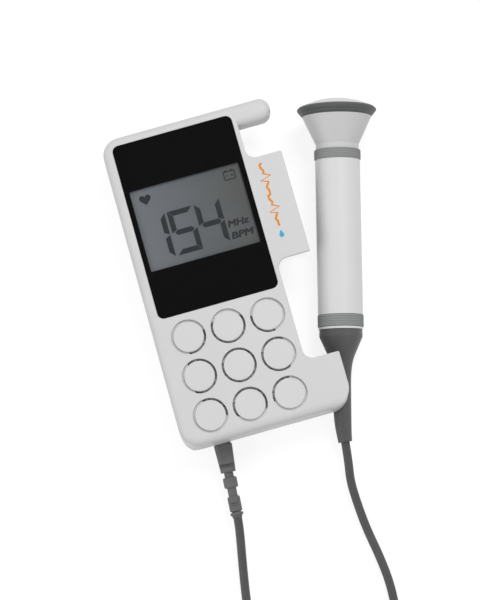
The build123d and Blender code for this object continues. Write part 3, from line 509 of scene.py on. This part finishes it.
@dataclass(frozen=True)
class Board(Finish):
    """A lacquered printed board with raised copper lines."""

    copper: Colour = (74, 128, 72)
    pitch: float = 420.0

    def draw(self, draft: Draft) -> None:
        """Draws the lines in the lacquer.

        Args:
            draft: the material's nodes.
        """
        lines = draft.effect("copper_lines", Pitch=self.pitch)["Height"]
        lacquer = draft.mottle(spread=0.05, size=160.0)
        draft.set({"Base Color": draft.blend(lines, lacquer, linear(self.copper)), "Coat Weight": 0.4})
        draft.bump(lines, depth=0.035, strength=0.6)


@dataclass(frozen=True)
class Woven(Finish):
    """A fine woven mesh, with painted shade in the gaps between its threads."""

    pitch: float = 0.8
    # the colour of the painted shade in the gaps between the threads
    gap: Colour = (8, 8, 9)

    def draw(self, draft: Draft) -> None:
        """Draws the threads, and paints shade into the gaps between them.

        Args:
            draft: the material's nodes.
        """
        weave = draft.effect("weave", Pitch=self.pitch * MM)
        threads = draft.mottle(spread=0.08, size=300.0)
        # painted shade: the gaps between the threads take the darker gap colour
        draft.set({"Base Color": draft.blend(weave["Gap"], threads, linear(self.gap))})
        draft.bump(weave["Height"], depth=0.15, strength=0.8)


@dataclass(frozen=True)
class CellSleeve(Finish):
    """The shrunk sleeve of a dry cell: a dark body with a pale band near one end."""

    band: Colour = (196, 152, 84)
    band_start: float = 46.0
    band_end: float = 60.0
    fade: float = 0.4
    ragged: float = 0.3

    def draw(self, draft: Draft) -> None:
        """Draws the band along Y with slightly ragged edges.

        Args:
            draft: the material's nodes.
        """
        along = draft.add("SeparateXYZ", {0: draft.place}).outputs[1]
        rough = draft.maths("MULTIPLY", draft.noise(draft.place, 700.0, 2.0), self.ragged * MM)
        edge = draft.maths("ADD", along, rough)
        first, last = self.band_start, self.band_end
        rise = draft.spread(edge, 0.0, 1.0, first * MM, (first + self.fade) * MM)
        fall = draft.spread(edge, 1.0, 0.0, last * MM, (last + self.fade) * MM)
        sleeve = draft.mottle(spread=0.05, size=200.0)
        banded = draft.blend(draft.maths("MULTIPLY", rise, fall), sleeve, linear(self.band))
        draft.set({"Base Color": banded})
        draft.bump(draft.grain(1800.0), depth=0.01, strength=0.3)


@dataclass(frozen=True)
class Foam(Finish):
    """Open foam or sintered backing with small pores."""

    pores: float = 1400.0
    painted_pore_shade: Colour = (20, 20, 22)

    def draw(self, draft: Draft) -> None:
        """Draws the pores as dents, with painted shade in them.

        Args:
            draft: the material's nodes.
        """
        cells = draft.add("TexVoronoi", {"Vector": draft.place, "Scale": self.pores}).outputs["Distance"]
        mask = draft.spread(cells, 1.0, 0.0, 0.1, 0.4)
        # painted shade: the pores take the dark pore colour
        draft.set({"Base Color": draft.blend(mask, linear(self.colour), linear(self.painted_pore_shade))})
        draft.bump(cells, depth=0.2, strength=0.7)


CASING = Plastic("casing_white", (219, 219, 220), 0.42, 0.35)
CASING_REAR = Plastic("casing_rear", (218, 218, 219), 0.46, 0.35, spread=0.015, dust=0.07)
GRILLE = Plastic("grille_white", (221, 221, 221), 0.38, 0.4)
WINDOW = ClearWindow("window_clear", (255, 255, 255), 0.0, 0.1)
MASK = Ink("mask_black", (12, 12, 13), 0.6, 0.0)
LCD = DisplayGlass("lcd_glass", (107, 112, 116), 0.35, 0.1)
SYMBOL = Ink("lcd_symbol", (49, 52, 57), 0.45, 0.1)
CARRIER = Plastic("carrier_black", (26, 26, 28), 0.5)
ZEBRA = Rubber("zebra_rubber", (60, 58, 62), 0.6)
BOARD = Board("board_green", (22, 70, 40), 0.35)
COMPONENT = Plastic("component_black", (30, 30, 32), 0.45, cells=4200.0)
CELL = CellSleeve("cell_sleeve", (34, 36, 42), 0.3)
SPRING = Metal("spring_steel", (196, 190, 178), 0.28)
SCREW = Metal("screw_steel", (120, 120, 122), 0.32, lines=6000.0)
BUTTON = Rubber("button_grey", (118, 120, 124), 0.55, 0.3, dust=0.06)
PLUNGER = Plastic("plunger_white", (206, 206, 202), 0.5)
SWITCH = Plastic("switch_black", (24, 24, 25), 0.45, cells=5200.0)
# painted light: the mesh and its gaps are made pale so that the deep slots of the grille in front of it look
# lit
MESH = Woven("mesh_pale", (238, 238, 239), 0.7, gap=(205, 205, 207))
GASKET = Foam("gasket_foam", (46, 46, 48), 0.9)
BASKET = Metal("basket_steel", (150, 152, 156), 0.38)
CONE = Foam("cone_paper", (44, 42, 40), 0.85, pores=2600.0, painted_pore_shade=(28, 27, 26))
MAGNET = Metal("magnet_grey", (92, 92, 95), 0.5, stained=0.4)
LEAD = Rubber("lead_grey", (76, 76, 78), 0.5, 0.3, cells=3200.0, spread=0.03, dust=0.05)
RELIEF = Rubber("relief_grey", (98, 98, 99), 0.52, 0.35, spread=0.02, dust=0.06)
BOOT = Rubber("boot_grey", (80, 80, 81), 0.5, 0.35, spread=0.02, dust=0.05)
TIE = Woven("tie_black", (38, 38, 40), 0.8, pitch=0.6)
PROBE_WHITE = Plastic("probe_white", (227, 227, 227), 0.36, 0.5, cells=3600.0, depth=0.015)
HEAD_WHITE = Plastic("head_white", (212, 212, 212), 0.38, 0.4, cells=3600.0, depth=0.015)
COLLAR = RibbedBand("collar_grey", (157, 158, 159), 0.7, 0.02, pitch=1.0, rib=0.08)
RING = RibbedBand("ring_grey", (94, 95, 96), 0.5, 0.3, pitch=1.3, rib=0.1)
FACE = Plastic("face_white", (217, 217, 216), 0.3, 0.45, cells=5000.0, depth=0.01)
CRYSTAL = Plastic("crystal_ceramic", (206, 196, 168), 0.55, cells=6000.0)
BACKING = Foam("backing_dark", (66, 60, 54), 0.8, pores=3200.0)
CUSHION = Foam("foam_black", (40, 40, 42), 0.95)
TRACE = Ink("trace_orange", (236, 146, 24), 0.5, 0.2)
DROP = Ink("drop_blue", (70, 176, 214), 0.5, 0.3)
MARK = Ink("mark_white", (226, 226, 226), 0.55, 0.3)

# ---------------------------------------------------------------- pieces


class Bench:
    """The work bench: pieces are picked up here, settled, joined and put on their bodies."""

    @staticmethod
    def clear() -> None:
        """Leaves edit mode and deselects everything."""
        if bpy.context.object and bpy.context.object.mode != "OBJECT":
            bpy.ops.object.mode_set(mode="OBJECT")
        bpy.ops.object.select_all(action="DESELECT")

    @staticmethod
    def pick(*pieces: Piece) -> None:
        """Selects only these pieces, and makes the first of them the active one.

        Args:
            pieces: the pieces.
        """
        Bench.clear()
        for piece in pieces:
            piece.select_set(True)
        bpy.context.view_layer.objects.active = pieces[0]

    @staticmethod
    def settle(piece: Piece) -> None:
        """Applies place, turn and size, so that the object itself sits at the origin."""
        Bench.pick(piece)
        bpy.ops.object.transform_apply(location=True, rotation=True, scale=True)

    @staticmethod
    def line(name: str, points: list[Point], course: Course) -> Piece:
        """Draws an open line along points.

        Args:
            name: the line's name.
            points: its points, in millimetres.
            course: whether it runs straight from point to point or as one smooth curve.

        Returns:
            The line as a curve with no thickness.
        """
        curve = bpy.data.curves.new(name, "CURVE")
        curve.dimensions = "3D"
        spline = curve.splines.new(course.value)
        spline.points.add(len(points) - 1)
        for place, point in zip(spline.points, points):
            place.co = (*metres(point), 1.0)
        if course is Course.SMOOTH:
            spline.order_u = 3
            spline.use_endpoint_u = True
            curve.resolution_u = 6
        drawn = bpy.data.objects.new(name, curve)
        bpy.context.collection.objects.link(drawn)
        return drawn

    @staticmethod
    def tube(line: Piece, width: float) -> Piece:
        """Gives a line a round section and makes it a mesh.

        Args:
            line: the line.
            width: the section's diameter, in millimetres.

        Returns:
            The tube.
        """
        line.data.bevel_depth = width / 2 * MM
        line.data.bevel_resolution = 3
        line.data.use_fill_caps = True
        Bench.pick(line)
        bpy.ops.object.convert(target="MESH")
        return bpy.context.object

    @staticmethod
    def join(name: str, parts: list[Piece]) -> Piece:
        """Joins several meshes into one piece.

        Args:
            name: the piece's name.
            parts: the meshes.

        Returns:
            The piece.
        """
        Bench.pick(*parts)
        if len(parts) > 1:
            bpy.ops.object.join()
        piece = bpy.context.object
        piece.name = name
        piece.data.name = name
        return piece

    @staticmethod
    def carry(piece: Piece, finish: Finish, body: Body, slot: str) -> None:
        """Gives a piece its finish and its body.

        Args:
            piece: the finished piece.
            finish: its finish.
            body: the body that it rides on.
            slot: the record's material slot; not used.
        """
        piece.data.materials.clear()
        piece.data.materials.append(finish.material())
        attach(piece, body.value)
        LOG.info("%s rides on %s", piece.name, body.value)


@dataclass(frozen=True)
class Bed:
    """A face that looks up and takes flat pieces: its height, and how far they rise from it."""

    height: float
    rise: float

    def thicken(self, piece: Piece) -> Piece:
        """Draws a flat piece that is open in edit mode up to its thickness, and closes it.

        Args:
            piece: the flat piece.

        Returns:
            The same piece, with its faces turned outwards.
        """
        bpy.ops.mesh.select_all(action="SELECT")
        bpy.ops.mesh.extrude_region_move(TRANSFORM_OT_translate={"value": (0, 0, self.rise * MM)})
        bpy.ops.mesh.select_all(action="SELECT")
        bpy.ops.mesh.normals_make_consistent(inside=False)
        bpy.ops.object.mode_set(mode="OBJECT")
        return piece

    def bar(self, name: str, centre: Pair, size: Pair, cut: float = 0.0) -> Piece:
        """Models a flat bar.

        Args:
            name: the bar's name.
            centre: its middle in X and Y, in millimetres.
            size: its size in X and Y.
            cut: how much its corners are cut.

        Returns:
            The bar as a mesh.
        """
        Bench.clear()
        bpy.ops.mesh.primitive_plane_add(size=MM, location=metres((*centre, self.height)))
        bar = bpy.context.object
        bar.name = name
        bar.scale = (*size, 1)
        Bench.settle(bar)
        bpy.ops.object.mode_set(mode="EDIT")
        bpy.ops.mesh.select_all(action="SELECT")
        if cut > 0:
            bpy.ops.mesh.bevel(offset=cut * MM, affect="VERTICES", segments=1)
        return self.thicken(bar)

    def patch(self, name: str, rim: Rim) -> Piece:
        """Models a flat patch from a disc whose rim is drawn out to another.

        Args:
            name: the patch's name.
            rim: its rim in X and Y, in millimetres.

        Returns:
            The patch as a mesh.
        """
        Bench.clear()
        bpy.ops.mesh.primitive_circle_add(vertices=len(rim), radius=MM, fill_type="NGON")
        patch = bpy.context.object
        patch.name = name
        for vertex, place in zip(patch.data.vertices, rim):
            vertex.co = metres((*place, self.height))
        bpy.ops.object.mode_set(mode="EDIT")
        bpy.ops.mesh.select_all(action="SELECT")
        bpy.ops.mesh.remove_doubles(threshold=0.01 * MM)
        return self.thicken(patch)

    def stroke(self, name: str, points: Rim, width: float) -> Piece:
        """Models a flat stroke along points.

        Args:
            name: the stroke's name.
            points: its line in X and Y, in millimetres.
            width: its width.

        Returns:
            The stroke as a mesh.
        """
        line = Bench.line(name, [(*point, 0.0) for point in points], Course.STRAIGHT)
        stroke = Bench.tube(line, width)
        stroke.scale = (1, 1, 2 * self.rise / width)
        stroke.location = (0, 0, self.height * MM)
        Bench.settle(stroke)
        return stroke

    def words(self, name: str, text: str, corner: Pair, size: Pair) -> Piece:
        """Sets short generic lettering in bold slanted letters.

        Args:
            name: the piece's name.
            text: what it says.
            corner: the left end of its base line, in millimetres.
            size: its length and the height of its capitals.

        Returns:
            The lettering as a mesh.
        """
        Bench.clear()
        bpy.ops.object.text_add(location=(0, 0, 0))
        lettering = bpy.context.object
        lettering.name = name
        lettering.data.body = text
        lettering.data.shear = 0.18
        lettering.data.extrude = 0.02
        lettering.data.bevel_depth = 0.04
        bpy.ops.object.convert(target="MESH")
        lettering = bpy.context.object
        places = [vertex.co for vertex in lettering.data.vertices]
        spans = [(min(row), max(row)) for row in zip(*places)]
        wanted = (*size, self.rise)
        scale = [length * MM / (high - low) for length, (low, high) in zip(wanted, spans)]
        left, low = (corner[axis] * MM - spans[axis][0] * scale[axis] for axis in (0, 1))
        lettering.scale = scale
        lettering.location = (left, low, (self.height + self.rise / 2) * MM)
        Bench.settle(lettering)
        return lettering


@dataclass(frozen=True)
class Dressing:
    """A finish and the CAD nodes that take it."""

    finish: Finish
    nodes: tuple[str, ...]


class Part:
    """A sub-assembly that dresses its CAD nodes and builds its own pieces."""

    dressings: tuple[Dressing, ...] = ()

    def dress(self) -> None:
        """Gives each CAD node of the sub-assembly its finish."""
        for dressing in self.dressings:
            material = dressing.finish.material()
            for name in dressing.nodes:
                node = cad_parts[name]
                if not node.material_slots:
                    node.data.materials.append(material)
                for slot in node.material_slots:
                    slot.material = material
                LOG.info("%s is finished in %s", name, dressing.finish.name)

    def build(self) -> None:
        """Builds the sub-assembly's own pieces; some have none."""


@dataclass
class Casing(Part):
    """Both shells, the hooks, the bar over the face, the door and the screws."""

    bed: Bed = Bed(height=27.0, rise=0.04)
    tab_middle: float = 35.4
    trace_low: float = 12.6
    trace_high: float = 41.2
    trace_reach: float = 2.3
    trace_width: float = 1.0
    beats: int = 2
    beat: tuple[Pair, ...] = (
        (0.0, 0.0), (0.08, 0.0), (0.12, 0.3), (0.16, 0.0), (0.20, -0.35), (0.24, 1.0),
        (0.29, -1.0), (0.34, 0.25), (0.38, 0.0), (0.44, 0.45), (0.49, 0.45),
    )
    drop_y: float = 8.5
    drop_radius: float = 1.05
    drop_point: float = 1.1
    drop_steps: int = 32
    dressings: tuple[Dressing, ...] = (
        Dressing(CASING, ("front_housing", "front_cradle", "face_guard")),
        Dressing(CASING_REAR, ("rear_housing", "rear_cradle", "battery_door")),
        Dressing(SCREW, ("housing_screws",)),
        Dressing(CELL, ("battery_cells",)),
        Dressing(SPRING, ("battery_contacts",)),
        Dressing(SWITCH, ("headphone_socket",)),
    )

    def trace_points(self) -> Rim:
        """A calm pulse trace that runs up the middle hook.

        Returns:
            Its points in X and Y.
        """
        length = self.trace_high - self.trace_low
        starts = [number / self.beats for number in range(self.beats)]
        swings = [(start + step, swing) for start in starts for step, swing in self.beat]
        return [
            (self.tab_middle - self.trace_reach * swing, self.trace_low + length * step)
            for step, swing in [*swings, (1.0, 0.0)]
        ]

    def drop_rim(self) -> Rim:
        """A drop with its point up.

        Returns:
            Its rim in X and Y.
        """
        rim = []
        for step in range(self.drop_steps):
            turn = 2 * math.pi * step / self.drop_steps
            point = max(0.0, math.sin(turn)) ** 5 * self.drop_point
            across = self.tab_middle + self.drop_radius * math.cos(turn)
            rim.append((across, self.drop_y + self.drop_radius * math.sin(turn) + point))
        return rim

    def build(self) -> None:
        """Prints the pulse trace and the drop on the middle hook."""
        trace = self.bed.stroke("pulse_trace", self.trace_points(), self.trace_width)
        Bench.carry(trace, TRACE, Body.UNIT, "casing_white")
        Bench.carry(self.bed.patch("drop_mark", self.drop_rim()), DROP, Body.UNIT, "casing_white")


@dataclass
class Display(Part):
    """The window, its black border and the display with its symbols."""

    bed: Bed = Bed(height=24.6, rise=0.06)
    stroke: float = 2.3
    gap: float = 0.1
    digit_low: float = 13.4
    digit_high: float = 30.9
    digits: tuple[tuple[str, float, float, str], ...] = (
        ("one", -21.6, -12.15, "bc"),
        ("five", -8.8, 0.05, "afgcd"),
        ("four", 3.3, 12.25, "fgbc"),
    )
    units: tuple[tuple[str, str, Pair, Pair], ...] = (
        ("unit_frequency", "MHz", (14.1, 18.1), (9.8, 3.1)),
        ("unit_rate", "BPM", (14.3, 12.7), (10.3, 3.1)),
    )
    heart_middle: Pair = (-17.35, 40.0)
    heart_scale: float = 0.162
    heart_steps: int = 40
    battery_x: Pair = (18.3, 23.1)
    battery_y: Pair = (38.6, 42.2)
    battery_line: float = 0.45
    sign_line: float = 0.36
    terminal_inset: float = 1.1
    terminal_length: float = 1.0
    sign_inset: float = 1.3
    sign_length: float = 1.1
    dressings: tuple[Dressing, ...] = (
        Dressing(WINDOW, ("display_window",)),
        Dressing(MASK, ("window_mask",)),
        Dressing(LCD, ("lcd_panel",)),
        Dressing(CARRIER, ("lcd_carrier",)),
        Dressing(ZEBRA, ("zebra_strips",)),
    )

    def digit(self, name: str, left: float, right: float, lit: str) -> list[Piece]:
        """Models the lit bars of one seven-bar digit, with mitred ends.

        Args:
            name: the digit's name.
            left: middle of its left bars.
            right: middle of its right bars.
            lit: the lit bars, lettered from a at the top clockwise to f, and g in the middle.

        Returns:
            The bars.
        """
        gap, thick, half = self.gap, self.stroke, self.stroke / 2
        centre, middle = (left + right) / 2, (self.digit_low + self.digit_high) / 2
        reach, tall = (right - left) / 2 + half, (self.digit_high - self.digit_low) / 2 + half
        end, top = reach - gap, tall - gap
        level = ((-end, tall), (end, tall), (end - thick, tall - thick), (thick - end, tall - thick))
        upright = ((reach, top), (reach, gap), (reach - thick, gap + half), (reach - thick, top - thick))
        tip, neck = end - half, end - thick
        across = ((-tip, 0), (-neck, half), (neck, half), (tip, 0), (neck, -half), (-neck, -half))
        bars = {
            "a": (level, 1, 1),
            "b": (upright, 1, 1),
            "c": (upright, 1, -1),
            "d": (level, 1, -1),
            "e": (upright, -1, -1),
            "f": (upright, -1, 1),
            "g": (across, 1, 1),
        }
        pieces = []
        for letter in lit:
            corners, side, way = bars[letter]
            rim = [(centre + side * x, middle + way * y) for x, y in corners]
            pieces.append(self.bed.patch(f"{name}_{letter}", rim))
        return pieces

    def heart(self) -> Piece:
        """Models the beat symbol.

        Returns:
            The heart, drawn out from the usual curve of sines.
        """
        x, y = self.heart_middle
        rim = []
        for step in range(self.heart_steps):
            turn = -2 * math.pi * step / self.heart_steps
            across = 16 * math.sin(turn) ** 3
            along = 13 * math.cos(turn) - 5 * math.cos(2 * turn) - 2 * math.cos(3 * turn) - math.cos(4 * turn)
            rim.append((x + across * self.heart_scale, y + along * self.heart_scale))
        return self.bed.patch("beat_symbol", rim)

    def battery_symbol(self) -> Piece:
        """Models the outlined battery with two terminals and its plus and minus.

        Returns:
            The symbol as one piece.
        """
        (left, right), (low, high) = self.battery_x, self.battery_y
        line, thin, middle = self.battery_line, self.sign_line, (low + high) / 2
        places = [(((left + right) / 2, y), (right - left + line, line)) for y in (low, high)]
        for x, inward in ((left, 1), (right, -1)):
            places += [
                ((x, middle), (line, high - low - line)),
                ((x + inward * self.terminal_inset, high + line), (self.terminal_length, line)),
                ((x + inward * self.sign_inset, middle), (self.sign_length, thin)),
            ]
        places += [((right - self.sign_inset, middle + step), (thin, thin)) for step in (thin, -thin)]
        bars = [self.bed.bar(f"battery_bar_{number}", *place) for number, place in enumerate(places)]
        return Bench.join("battery_symbol", bars)

    def build(self) -> None:
        """Builds the digits, the two symbols and the two units."""
        bars = [bar for digit in self.digits for bar in self.digit(*digit)]
        pieces = [Bench.join("rate_digits", bars), self.heart(), self.battery_symbol()]
        pieces += [self.bed.words(*unit) for unit in self.units]
        for piece in pieces:
            Bench.carry(piece, SYMBOL, Body.UNIT, "lcd")


@dataclass
class Loudspeaker(Part):
    """The nine islands and the loudspeaker behind them."""

    dressings: tuple[Dressing, ...] = (
        Dressing(GRILLE, ("grille_insert",)),
        Dressing(MESH, ("speaker_mesh",)),
        Dressing(GASKET, ("speaker_gasket",)),
        Dressing(BASKET, ("speaker_basket",)),
        Dressing(CONE, ("speaker_cone",)),
        Dressing(MAGNET, ("speaker_magnet",)),
    )


@dataclass
class Electronics(Part):
    """The boards and what they carry."""

    dressings: tuple[Dressing, ...] = (
        Dressing(BOARD, ("main_board", "switch_board")),
        Dressing(COMPONENT, ("board_components",)),
        Dressing(SWITCH, ("tact_switches",)),
    )


@dataclass
class SideButtons(Part):
    """The three flush buttons in the flank and the marks on them."""

    face: float = -30.0
    height: float = 13.5
    power_y: float = 29.0
    up_y: float = 11.0
    down_y: float = -4.0
    bed: Bed = Bed(height=0.0, rise=0.05)
    line: float = 0.5
    cut: float = 0.1
    reach: float = 1.5
    arm_middle: float = 0.87
    arm_length: float = 1.25
    ring_radius: float = 1.25
    ring_start: float = 125.0
    ring_turn: float = 290.0
    ring_steps: int = 14
    tick_middle: float = 0.95
    tick_length: float = 1.3
    dressings: tuple[Dressing, ...] = (
        Dressing(BUTTON, ("power_button", "volume_up_button", "volume_down_button")),
        Dressing(PLUNGER, ("power_plunger", "volume_up_plunger", "volume_down_plunger")),
    )

    def bar(self, name: str, y: float, size: Pair) -> Piece:
        """Models one bar of a mark, drawn lying at the origin."""
        return self.bed.bar(name, (0, y), size, self.cut)

    def power_ring(self) -> Piece:
        """Models the open ring of the power mark.

        Returns:
            The ring, drawn lying at the origin.
        """
        ring = []
        for step in range(self.ring_steps + 1):
            turn = math.radians(self.ring_start + self.ring_turn * step / self.ring_steps)
            ring.append((self.ring_radius * math.cos(turn), self.ring_radius * math.sin(turn)))
        return self.bed.stroke("power_ring", ring, self.line)

    def stand(self, mark: Piece, y: float) -> Piece:
        """Turns a mark that was drawn lying at the origin so that it faces out of the flank.

        Args:
            mark: the mark, drawn in X and Y.
            y: the middle of its button.

        Returns:
            The mark in place.
        """
        rows = ((0, 0, -1, self.face * MM), (0, 1, 0, y * MM), (1, 0, 0, self.height * MM), (0, 0, 0, 1))
        mark.matrix_world = Matrix(rows)
        Bench.settle(mark)
        return mark

    def build(self) -> None:
        """Prints a power mark, a plus and a minus."""
        across, arm = (2 * self.reach, self.line), (self.line, self.arm_length)
        power = [self.power_ring(), self.bar("power_bar", self.tick_middle, (self.line, self.tick_length))]
        plus = [
            self.bar("plus_across", 0, across),
            self.bar("plus_high", self.arm_middle, arm),
            self.bar("plus_low", -self.arm_middle, arm),
        ]
        marks = (
            ("power_mark", power, self.power_y, Body.POWER),
            ("volume_up_mark", plus, self.up_y, Body.VOLUME_UP),
            ("volume_down_mark", [self.bar("minus_across", 0, across)], self.down_y, Body.VOLUME_DOWN),
        )
        for name, parts, y, body in marks:
            Bench.carry(self.stand(Bench.join(name, parts), y), MARK, body, "button_grey")


@dataclass
class Probe(Part):
    """The pencil probe."""

    dressings: tuple[Dressing, ...] = (
        Dressing(BOOT, ("probe_boot",)),
        Dressing(PROBE_WHITE, ("probe_end_cap", "probe_barrel")),
        Dressing(COLLAR, ("probe_rear_collar", "probe_front_collar")),
        Dressing(HEAD_WHITE, ("probe_head",)),
        Dressing(RING, ("probe_face_ring",)),
        Dressing(FACE, ("probe_faceplate",)),
        Dressing(CRYSTAL, ("crystals",)),
        Dressing(BACKING, ("crystal_backing",)),
        Dressing(BOARD, ("probe_board",)),
        Dressing(CUSHION, ("probe_board_rings",)),
        Dressing(COMPONENT, ("probe_board_parts",)),
    )


@dataclass
class Lead(Part):
    """The lead from the unit's relief through the tied coil to the probe's boot."""

    diameter: float = 3.8
    coil_middle: Pair = (2.5, -173.0)
    inner_radius: float = 12.3
    columns: int = 4
    low_layer: float = 2.7
    first_angle: float = 193.0
    last_angle: float = 2835.0
    steps: int = 16
    change: float = 60.0
    from_unit: tuple[Point, ...] = (
        (-15.89, -101.946, 5.845),
        (-16.175, -105.926, 5.576),
        (-19.3, -122.0, 3.0),
        (-21.5, -134.5, 2.0),
        (-23.2, -147.5, 1.95),
        (-23.6, -162.0, 1.95),
    )
    to_probe: tuple[Point, ...] = (
        (28.6, -180.9, 5.3),
        (34.6, -171.2, 2.4),
        (38.9, -159.6, 1.95),
        (39.8, -146.8, 1.95),
        (38.6, -134.0, 1.95),
        (36.5, -121.5, 2.0),
        (35.6, -109.5, 2.5),
        (35.4, -99.5, 4.2),
        (36.741, -92.200, 6.762),
        (37.798, -83.283, 7.378),
    )
    dressings: tuple[Dressing, ...] = (
        Dressing(RELIEF, ("lead_strain_relief",)),
        Dressing(TIE, ("coil_tie",)),
        Dressing(LEAD, ("lead_from_unit", "lead_coil", "lead_to_probe")),
    )

    def eased(self, angle: float, start: float) -> float:
        """How far a change that starts at one angle has gone at another, from 0 to 1."""
        part = min(1.0, max(0.0, (angle - start) / self.change))
        return part * part * (3 - 2 * part)

    def coil_points(self) -> list[Point]:
        """The wound turns: four inwards on the lower layer, then outwards on the upper one.

        Returns:
            The control points, in millimetres.
        """
        first_step = self.first_angle + 360 - self.change
        points = []
        wound = self.last_angle - self.first_angle
        count = round(wound / 360 * self.steps)
        stretch = 1 / math.cos(math.pi / self.steps)
        for number in range(count + 1):
            angle = self.first_angle + wound * number / count
            column = float(self.columns - 1)
            for turn in range(self.columns - 1):
                column -= self.eased(angle, first_step + 360 * turn)
                column += self.eased(angle, first_step + 360 * (self.columns + turn) - 2 * self.change)
            rise = self.eased(angle, first_step + 360 * (self.columns - 1) - self.change)
            radius = self.inner_radius + column * self.diameter
            if 0 < number < count:
                radius *= stretch
            turned = math.radians(angle)
            x = self.coil_middle[0] + radius * math.cos(turned)
            y = self.coil_middle[1] + radius * math.sin(turned)
            points.append((x, y, self.low_layer + rise * self.diameter))
        return points

    def build(self) -> None:
        line = Bench.line("lead", [*self.from_unit, *self.coil_points(), *self.to_probe], Course.SMOOTH)
        path = [vertex.co.copy() for vertex in bpy.data.meshes.new_from_object(line).vertices]
        length = sum((after - before).length for before, after in zip(path, path[1:]))
        tube = Bench.tube(line, self.diameter)
        bpy.ops.object.shade_smooth_by_angle(angle=math.radians(50))
        tube.name = "lead_tube"
        tube.data.materials.clear()
        tube.data.materials.append(LEAD.material())
        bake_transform(tube)
        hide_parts("lead_from_unit", "lead_coil", "lead_to_probe")
        metres(self.from_unit[0])
        LOG.info("the lead is %.3f m long and bends between the unit and the probe", length)


# ---------------------------------------------------------------- studio


@dataclass
class Studio:
    """The floor, the lamps, the world and the camera."""

    eye: Point = (-9.44, -198.48, 1128.79)
    forward: Point = (0.01768, 0.16505, -0.98613)
    upward: Point = (0.26964, 0.94895, 0.16366)
    lens: float = 156.0
    sensor: float = 36.0
    floor_size: float = 6000.0
    floor_height: float = -0.2
    floor_pale: float = 0.5
    floor_seen: float = 0.27
    floor_glow: float = 0.83
    world_light: float = 0.6
    world_gap: float = 0.1
    gap_edge: Pair = (0.92, 0.97)
    lamps: tuple[tuple[str, Point, float, float], ...] = (
        ("key", (560.0, 520.0, 1300.0), 0.6, 8.0),
        ("fill", (-1150.0, -350.0, 760.0), 0.8, 3.5),
    )

    def floor(self) -> None:
        """A plain pale floor that keeps the shadow."""
        Bench.clear()
        bpy.ops.mesh.primitive_plane_add(size=self.floor_size * MM, location=(0, 0, self.floor_height * MM))
        floor = bpy.context.object
        floor.name = "floor"
        Bench.settle(floor)
        material = bpy.data.materials.new("floor_pale")
        material.use_nodes = True
        pen = NodePen(material.node_tree)
        pen.tree.nodes.remove(pen.tree.nodes["Principled BSDF"])
        plain = pen.add("BsdfDiffuse", {"Color": grey(self.floor_pale)})
        pale = pen.add("BsdfDiffuse", {"Color": grey(self.floor_seen)})
        glow = pen.add("Emission", {"Color": grey(1.0), "Strength": self.floor_glow})
        shown = pen.add("AddShader", {0: pale.outputs[0], 1: glow.outputs[0]})
        rays = pen.add("LightPath").outputs
        seen = pen.maths("MAXIMUM", rays["Is Camera Ray"], rays["Is Glossy Ray"])
        mixed = pen.add("MixShader", {0: seen, 1: plain.outputs[0], 2: shown.outputs[0]})
        pen.feed(pen.tree.nodes["Material Output"].inputs["Surface"], mixed.outputs[0])
        floor.data.materials.append(material)

    def world(self) -> None:
        """A pale studio with a darker opening overhead, and white where it is seen or mirrored."""
        world = bpy.data.worlds.new("studio")
        bpy.context.scene.world = world
        world.use_nodes = True
        pen = NodePen(world.node_tree)
        base = world.node_tree.nodes["Background"].inputs
        base["Color"].default_value = grey(1.0)
        height = pen.add("SeparateXYZ", {0: pen.add("TexCoord").outputs["Generated"]}).outputs[2]
        rays = pen.add("LightPath").outputs
        mirrored = pen.maths("MAXIMUM", rays["Is Glossy Ray"], rays["Is Transmission Ray"])
        level = pen.spread(mirrored, self.world_light, 1.0)
        light = pen.spread(height, level, self.world_gap, *self.gap_edge)
        pen.feed(base["Strength"], pen.spread(rays["Is Camera Ray"], light, 1.0))

    def lights(self) -> None:
        """Large soft lamps, kept out of what the window mirrors."""
        for name, place, size, power in self.lamps:
            lamp = bpy.data.lights.new(name, "AREA")
            lamp.shape = "SQUARE"
            lamp.size = size
            lamp.energy = power
            holder = bpy.data.objects.new(name, lamp)
            bpy.context.collection.objects.link(holder)
            holder.location = metres(place)
            holder.rotation_euler = (-metres(place)).to_track_quat("-Z", "Y").to_euler()

    def camera(self) -> None:
        """The camera that looks down on the unit."""
        data = bpy.data.cameras.new("camera")
        data.sensor_fit = "AUTO"
        data.sensor_width = self.sensor
        data.lens = self.lens
        holder = bpy.data.objects.new("camera", data)
        bpy.context.collection.objects.link(holder)
        back = -Vector(self.forward).normalized()
        right = Vector(self.upward).cross(back).normalized()
        turn = Matrix((right, back.cross(right), back)).transposed().to_4x4()
        holder.matrix_world = Matrix.Translation(metres(self.eye)) @ turn
        bpy.context.scene.camera = holder

    def build(self) -> None:
        """Sets up the whole studio."""
        self.camera()
        self.floor()
        self.world()
        self.lights()
        bpy.context.scene.view_settings.view_transform = "Standard"


def main() -> None:
    """Builds the studio and the sub-assemblies in order."""
    logging.basicConfig(level=logging.INFO, format="%(message)s")
    Studio().build()
    for make in EFFECTS:
        make()
    for part in (Lead(), Casing(), Display(), Loudspeaker(), Electronics(), SideButtons(), Probe()):
        part.dress()
        part.build()


if __name__ == "__main__":
    main()
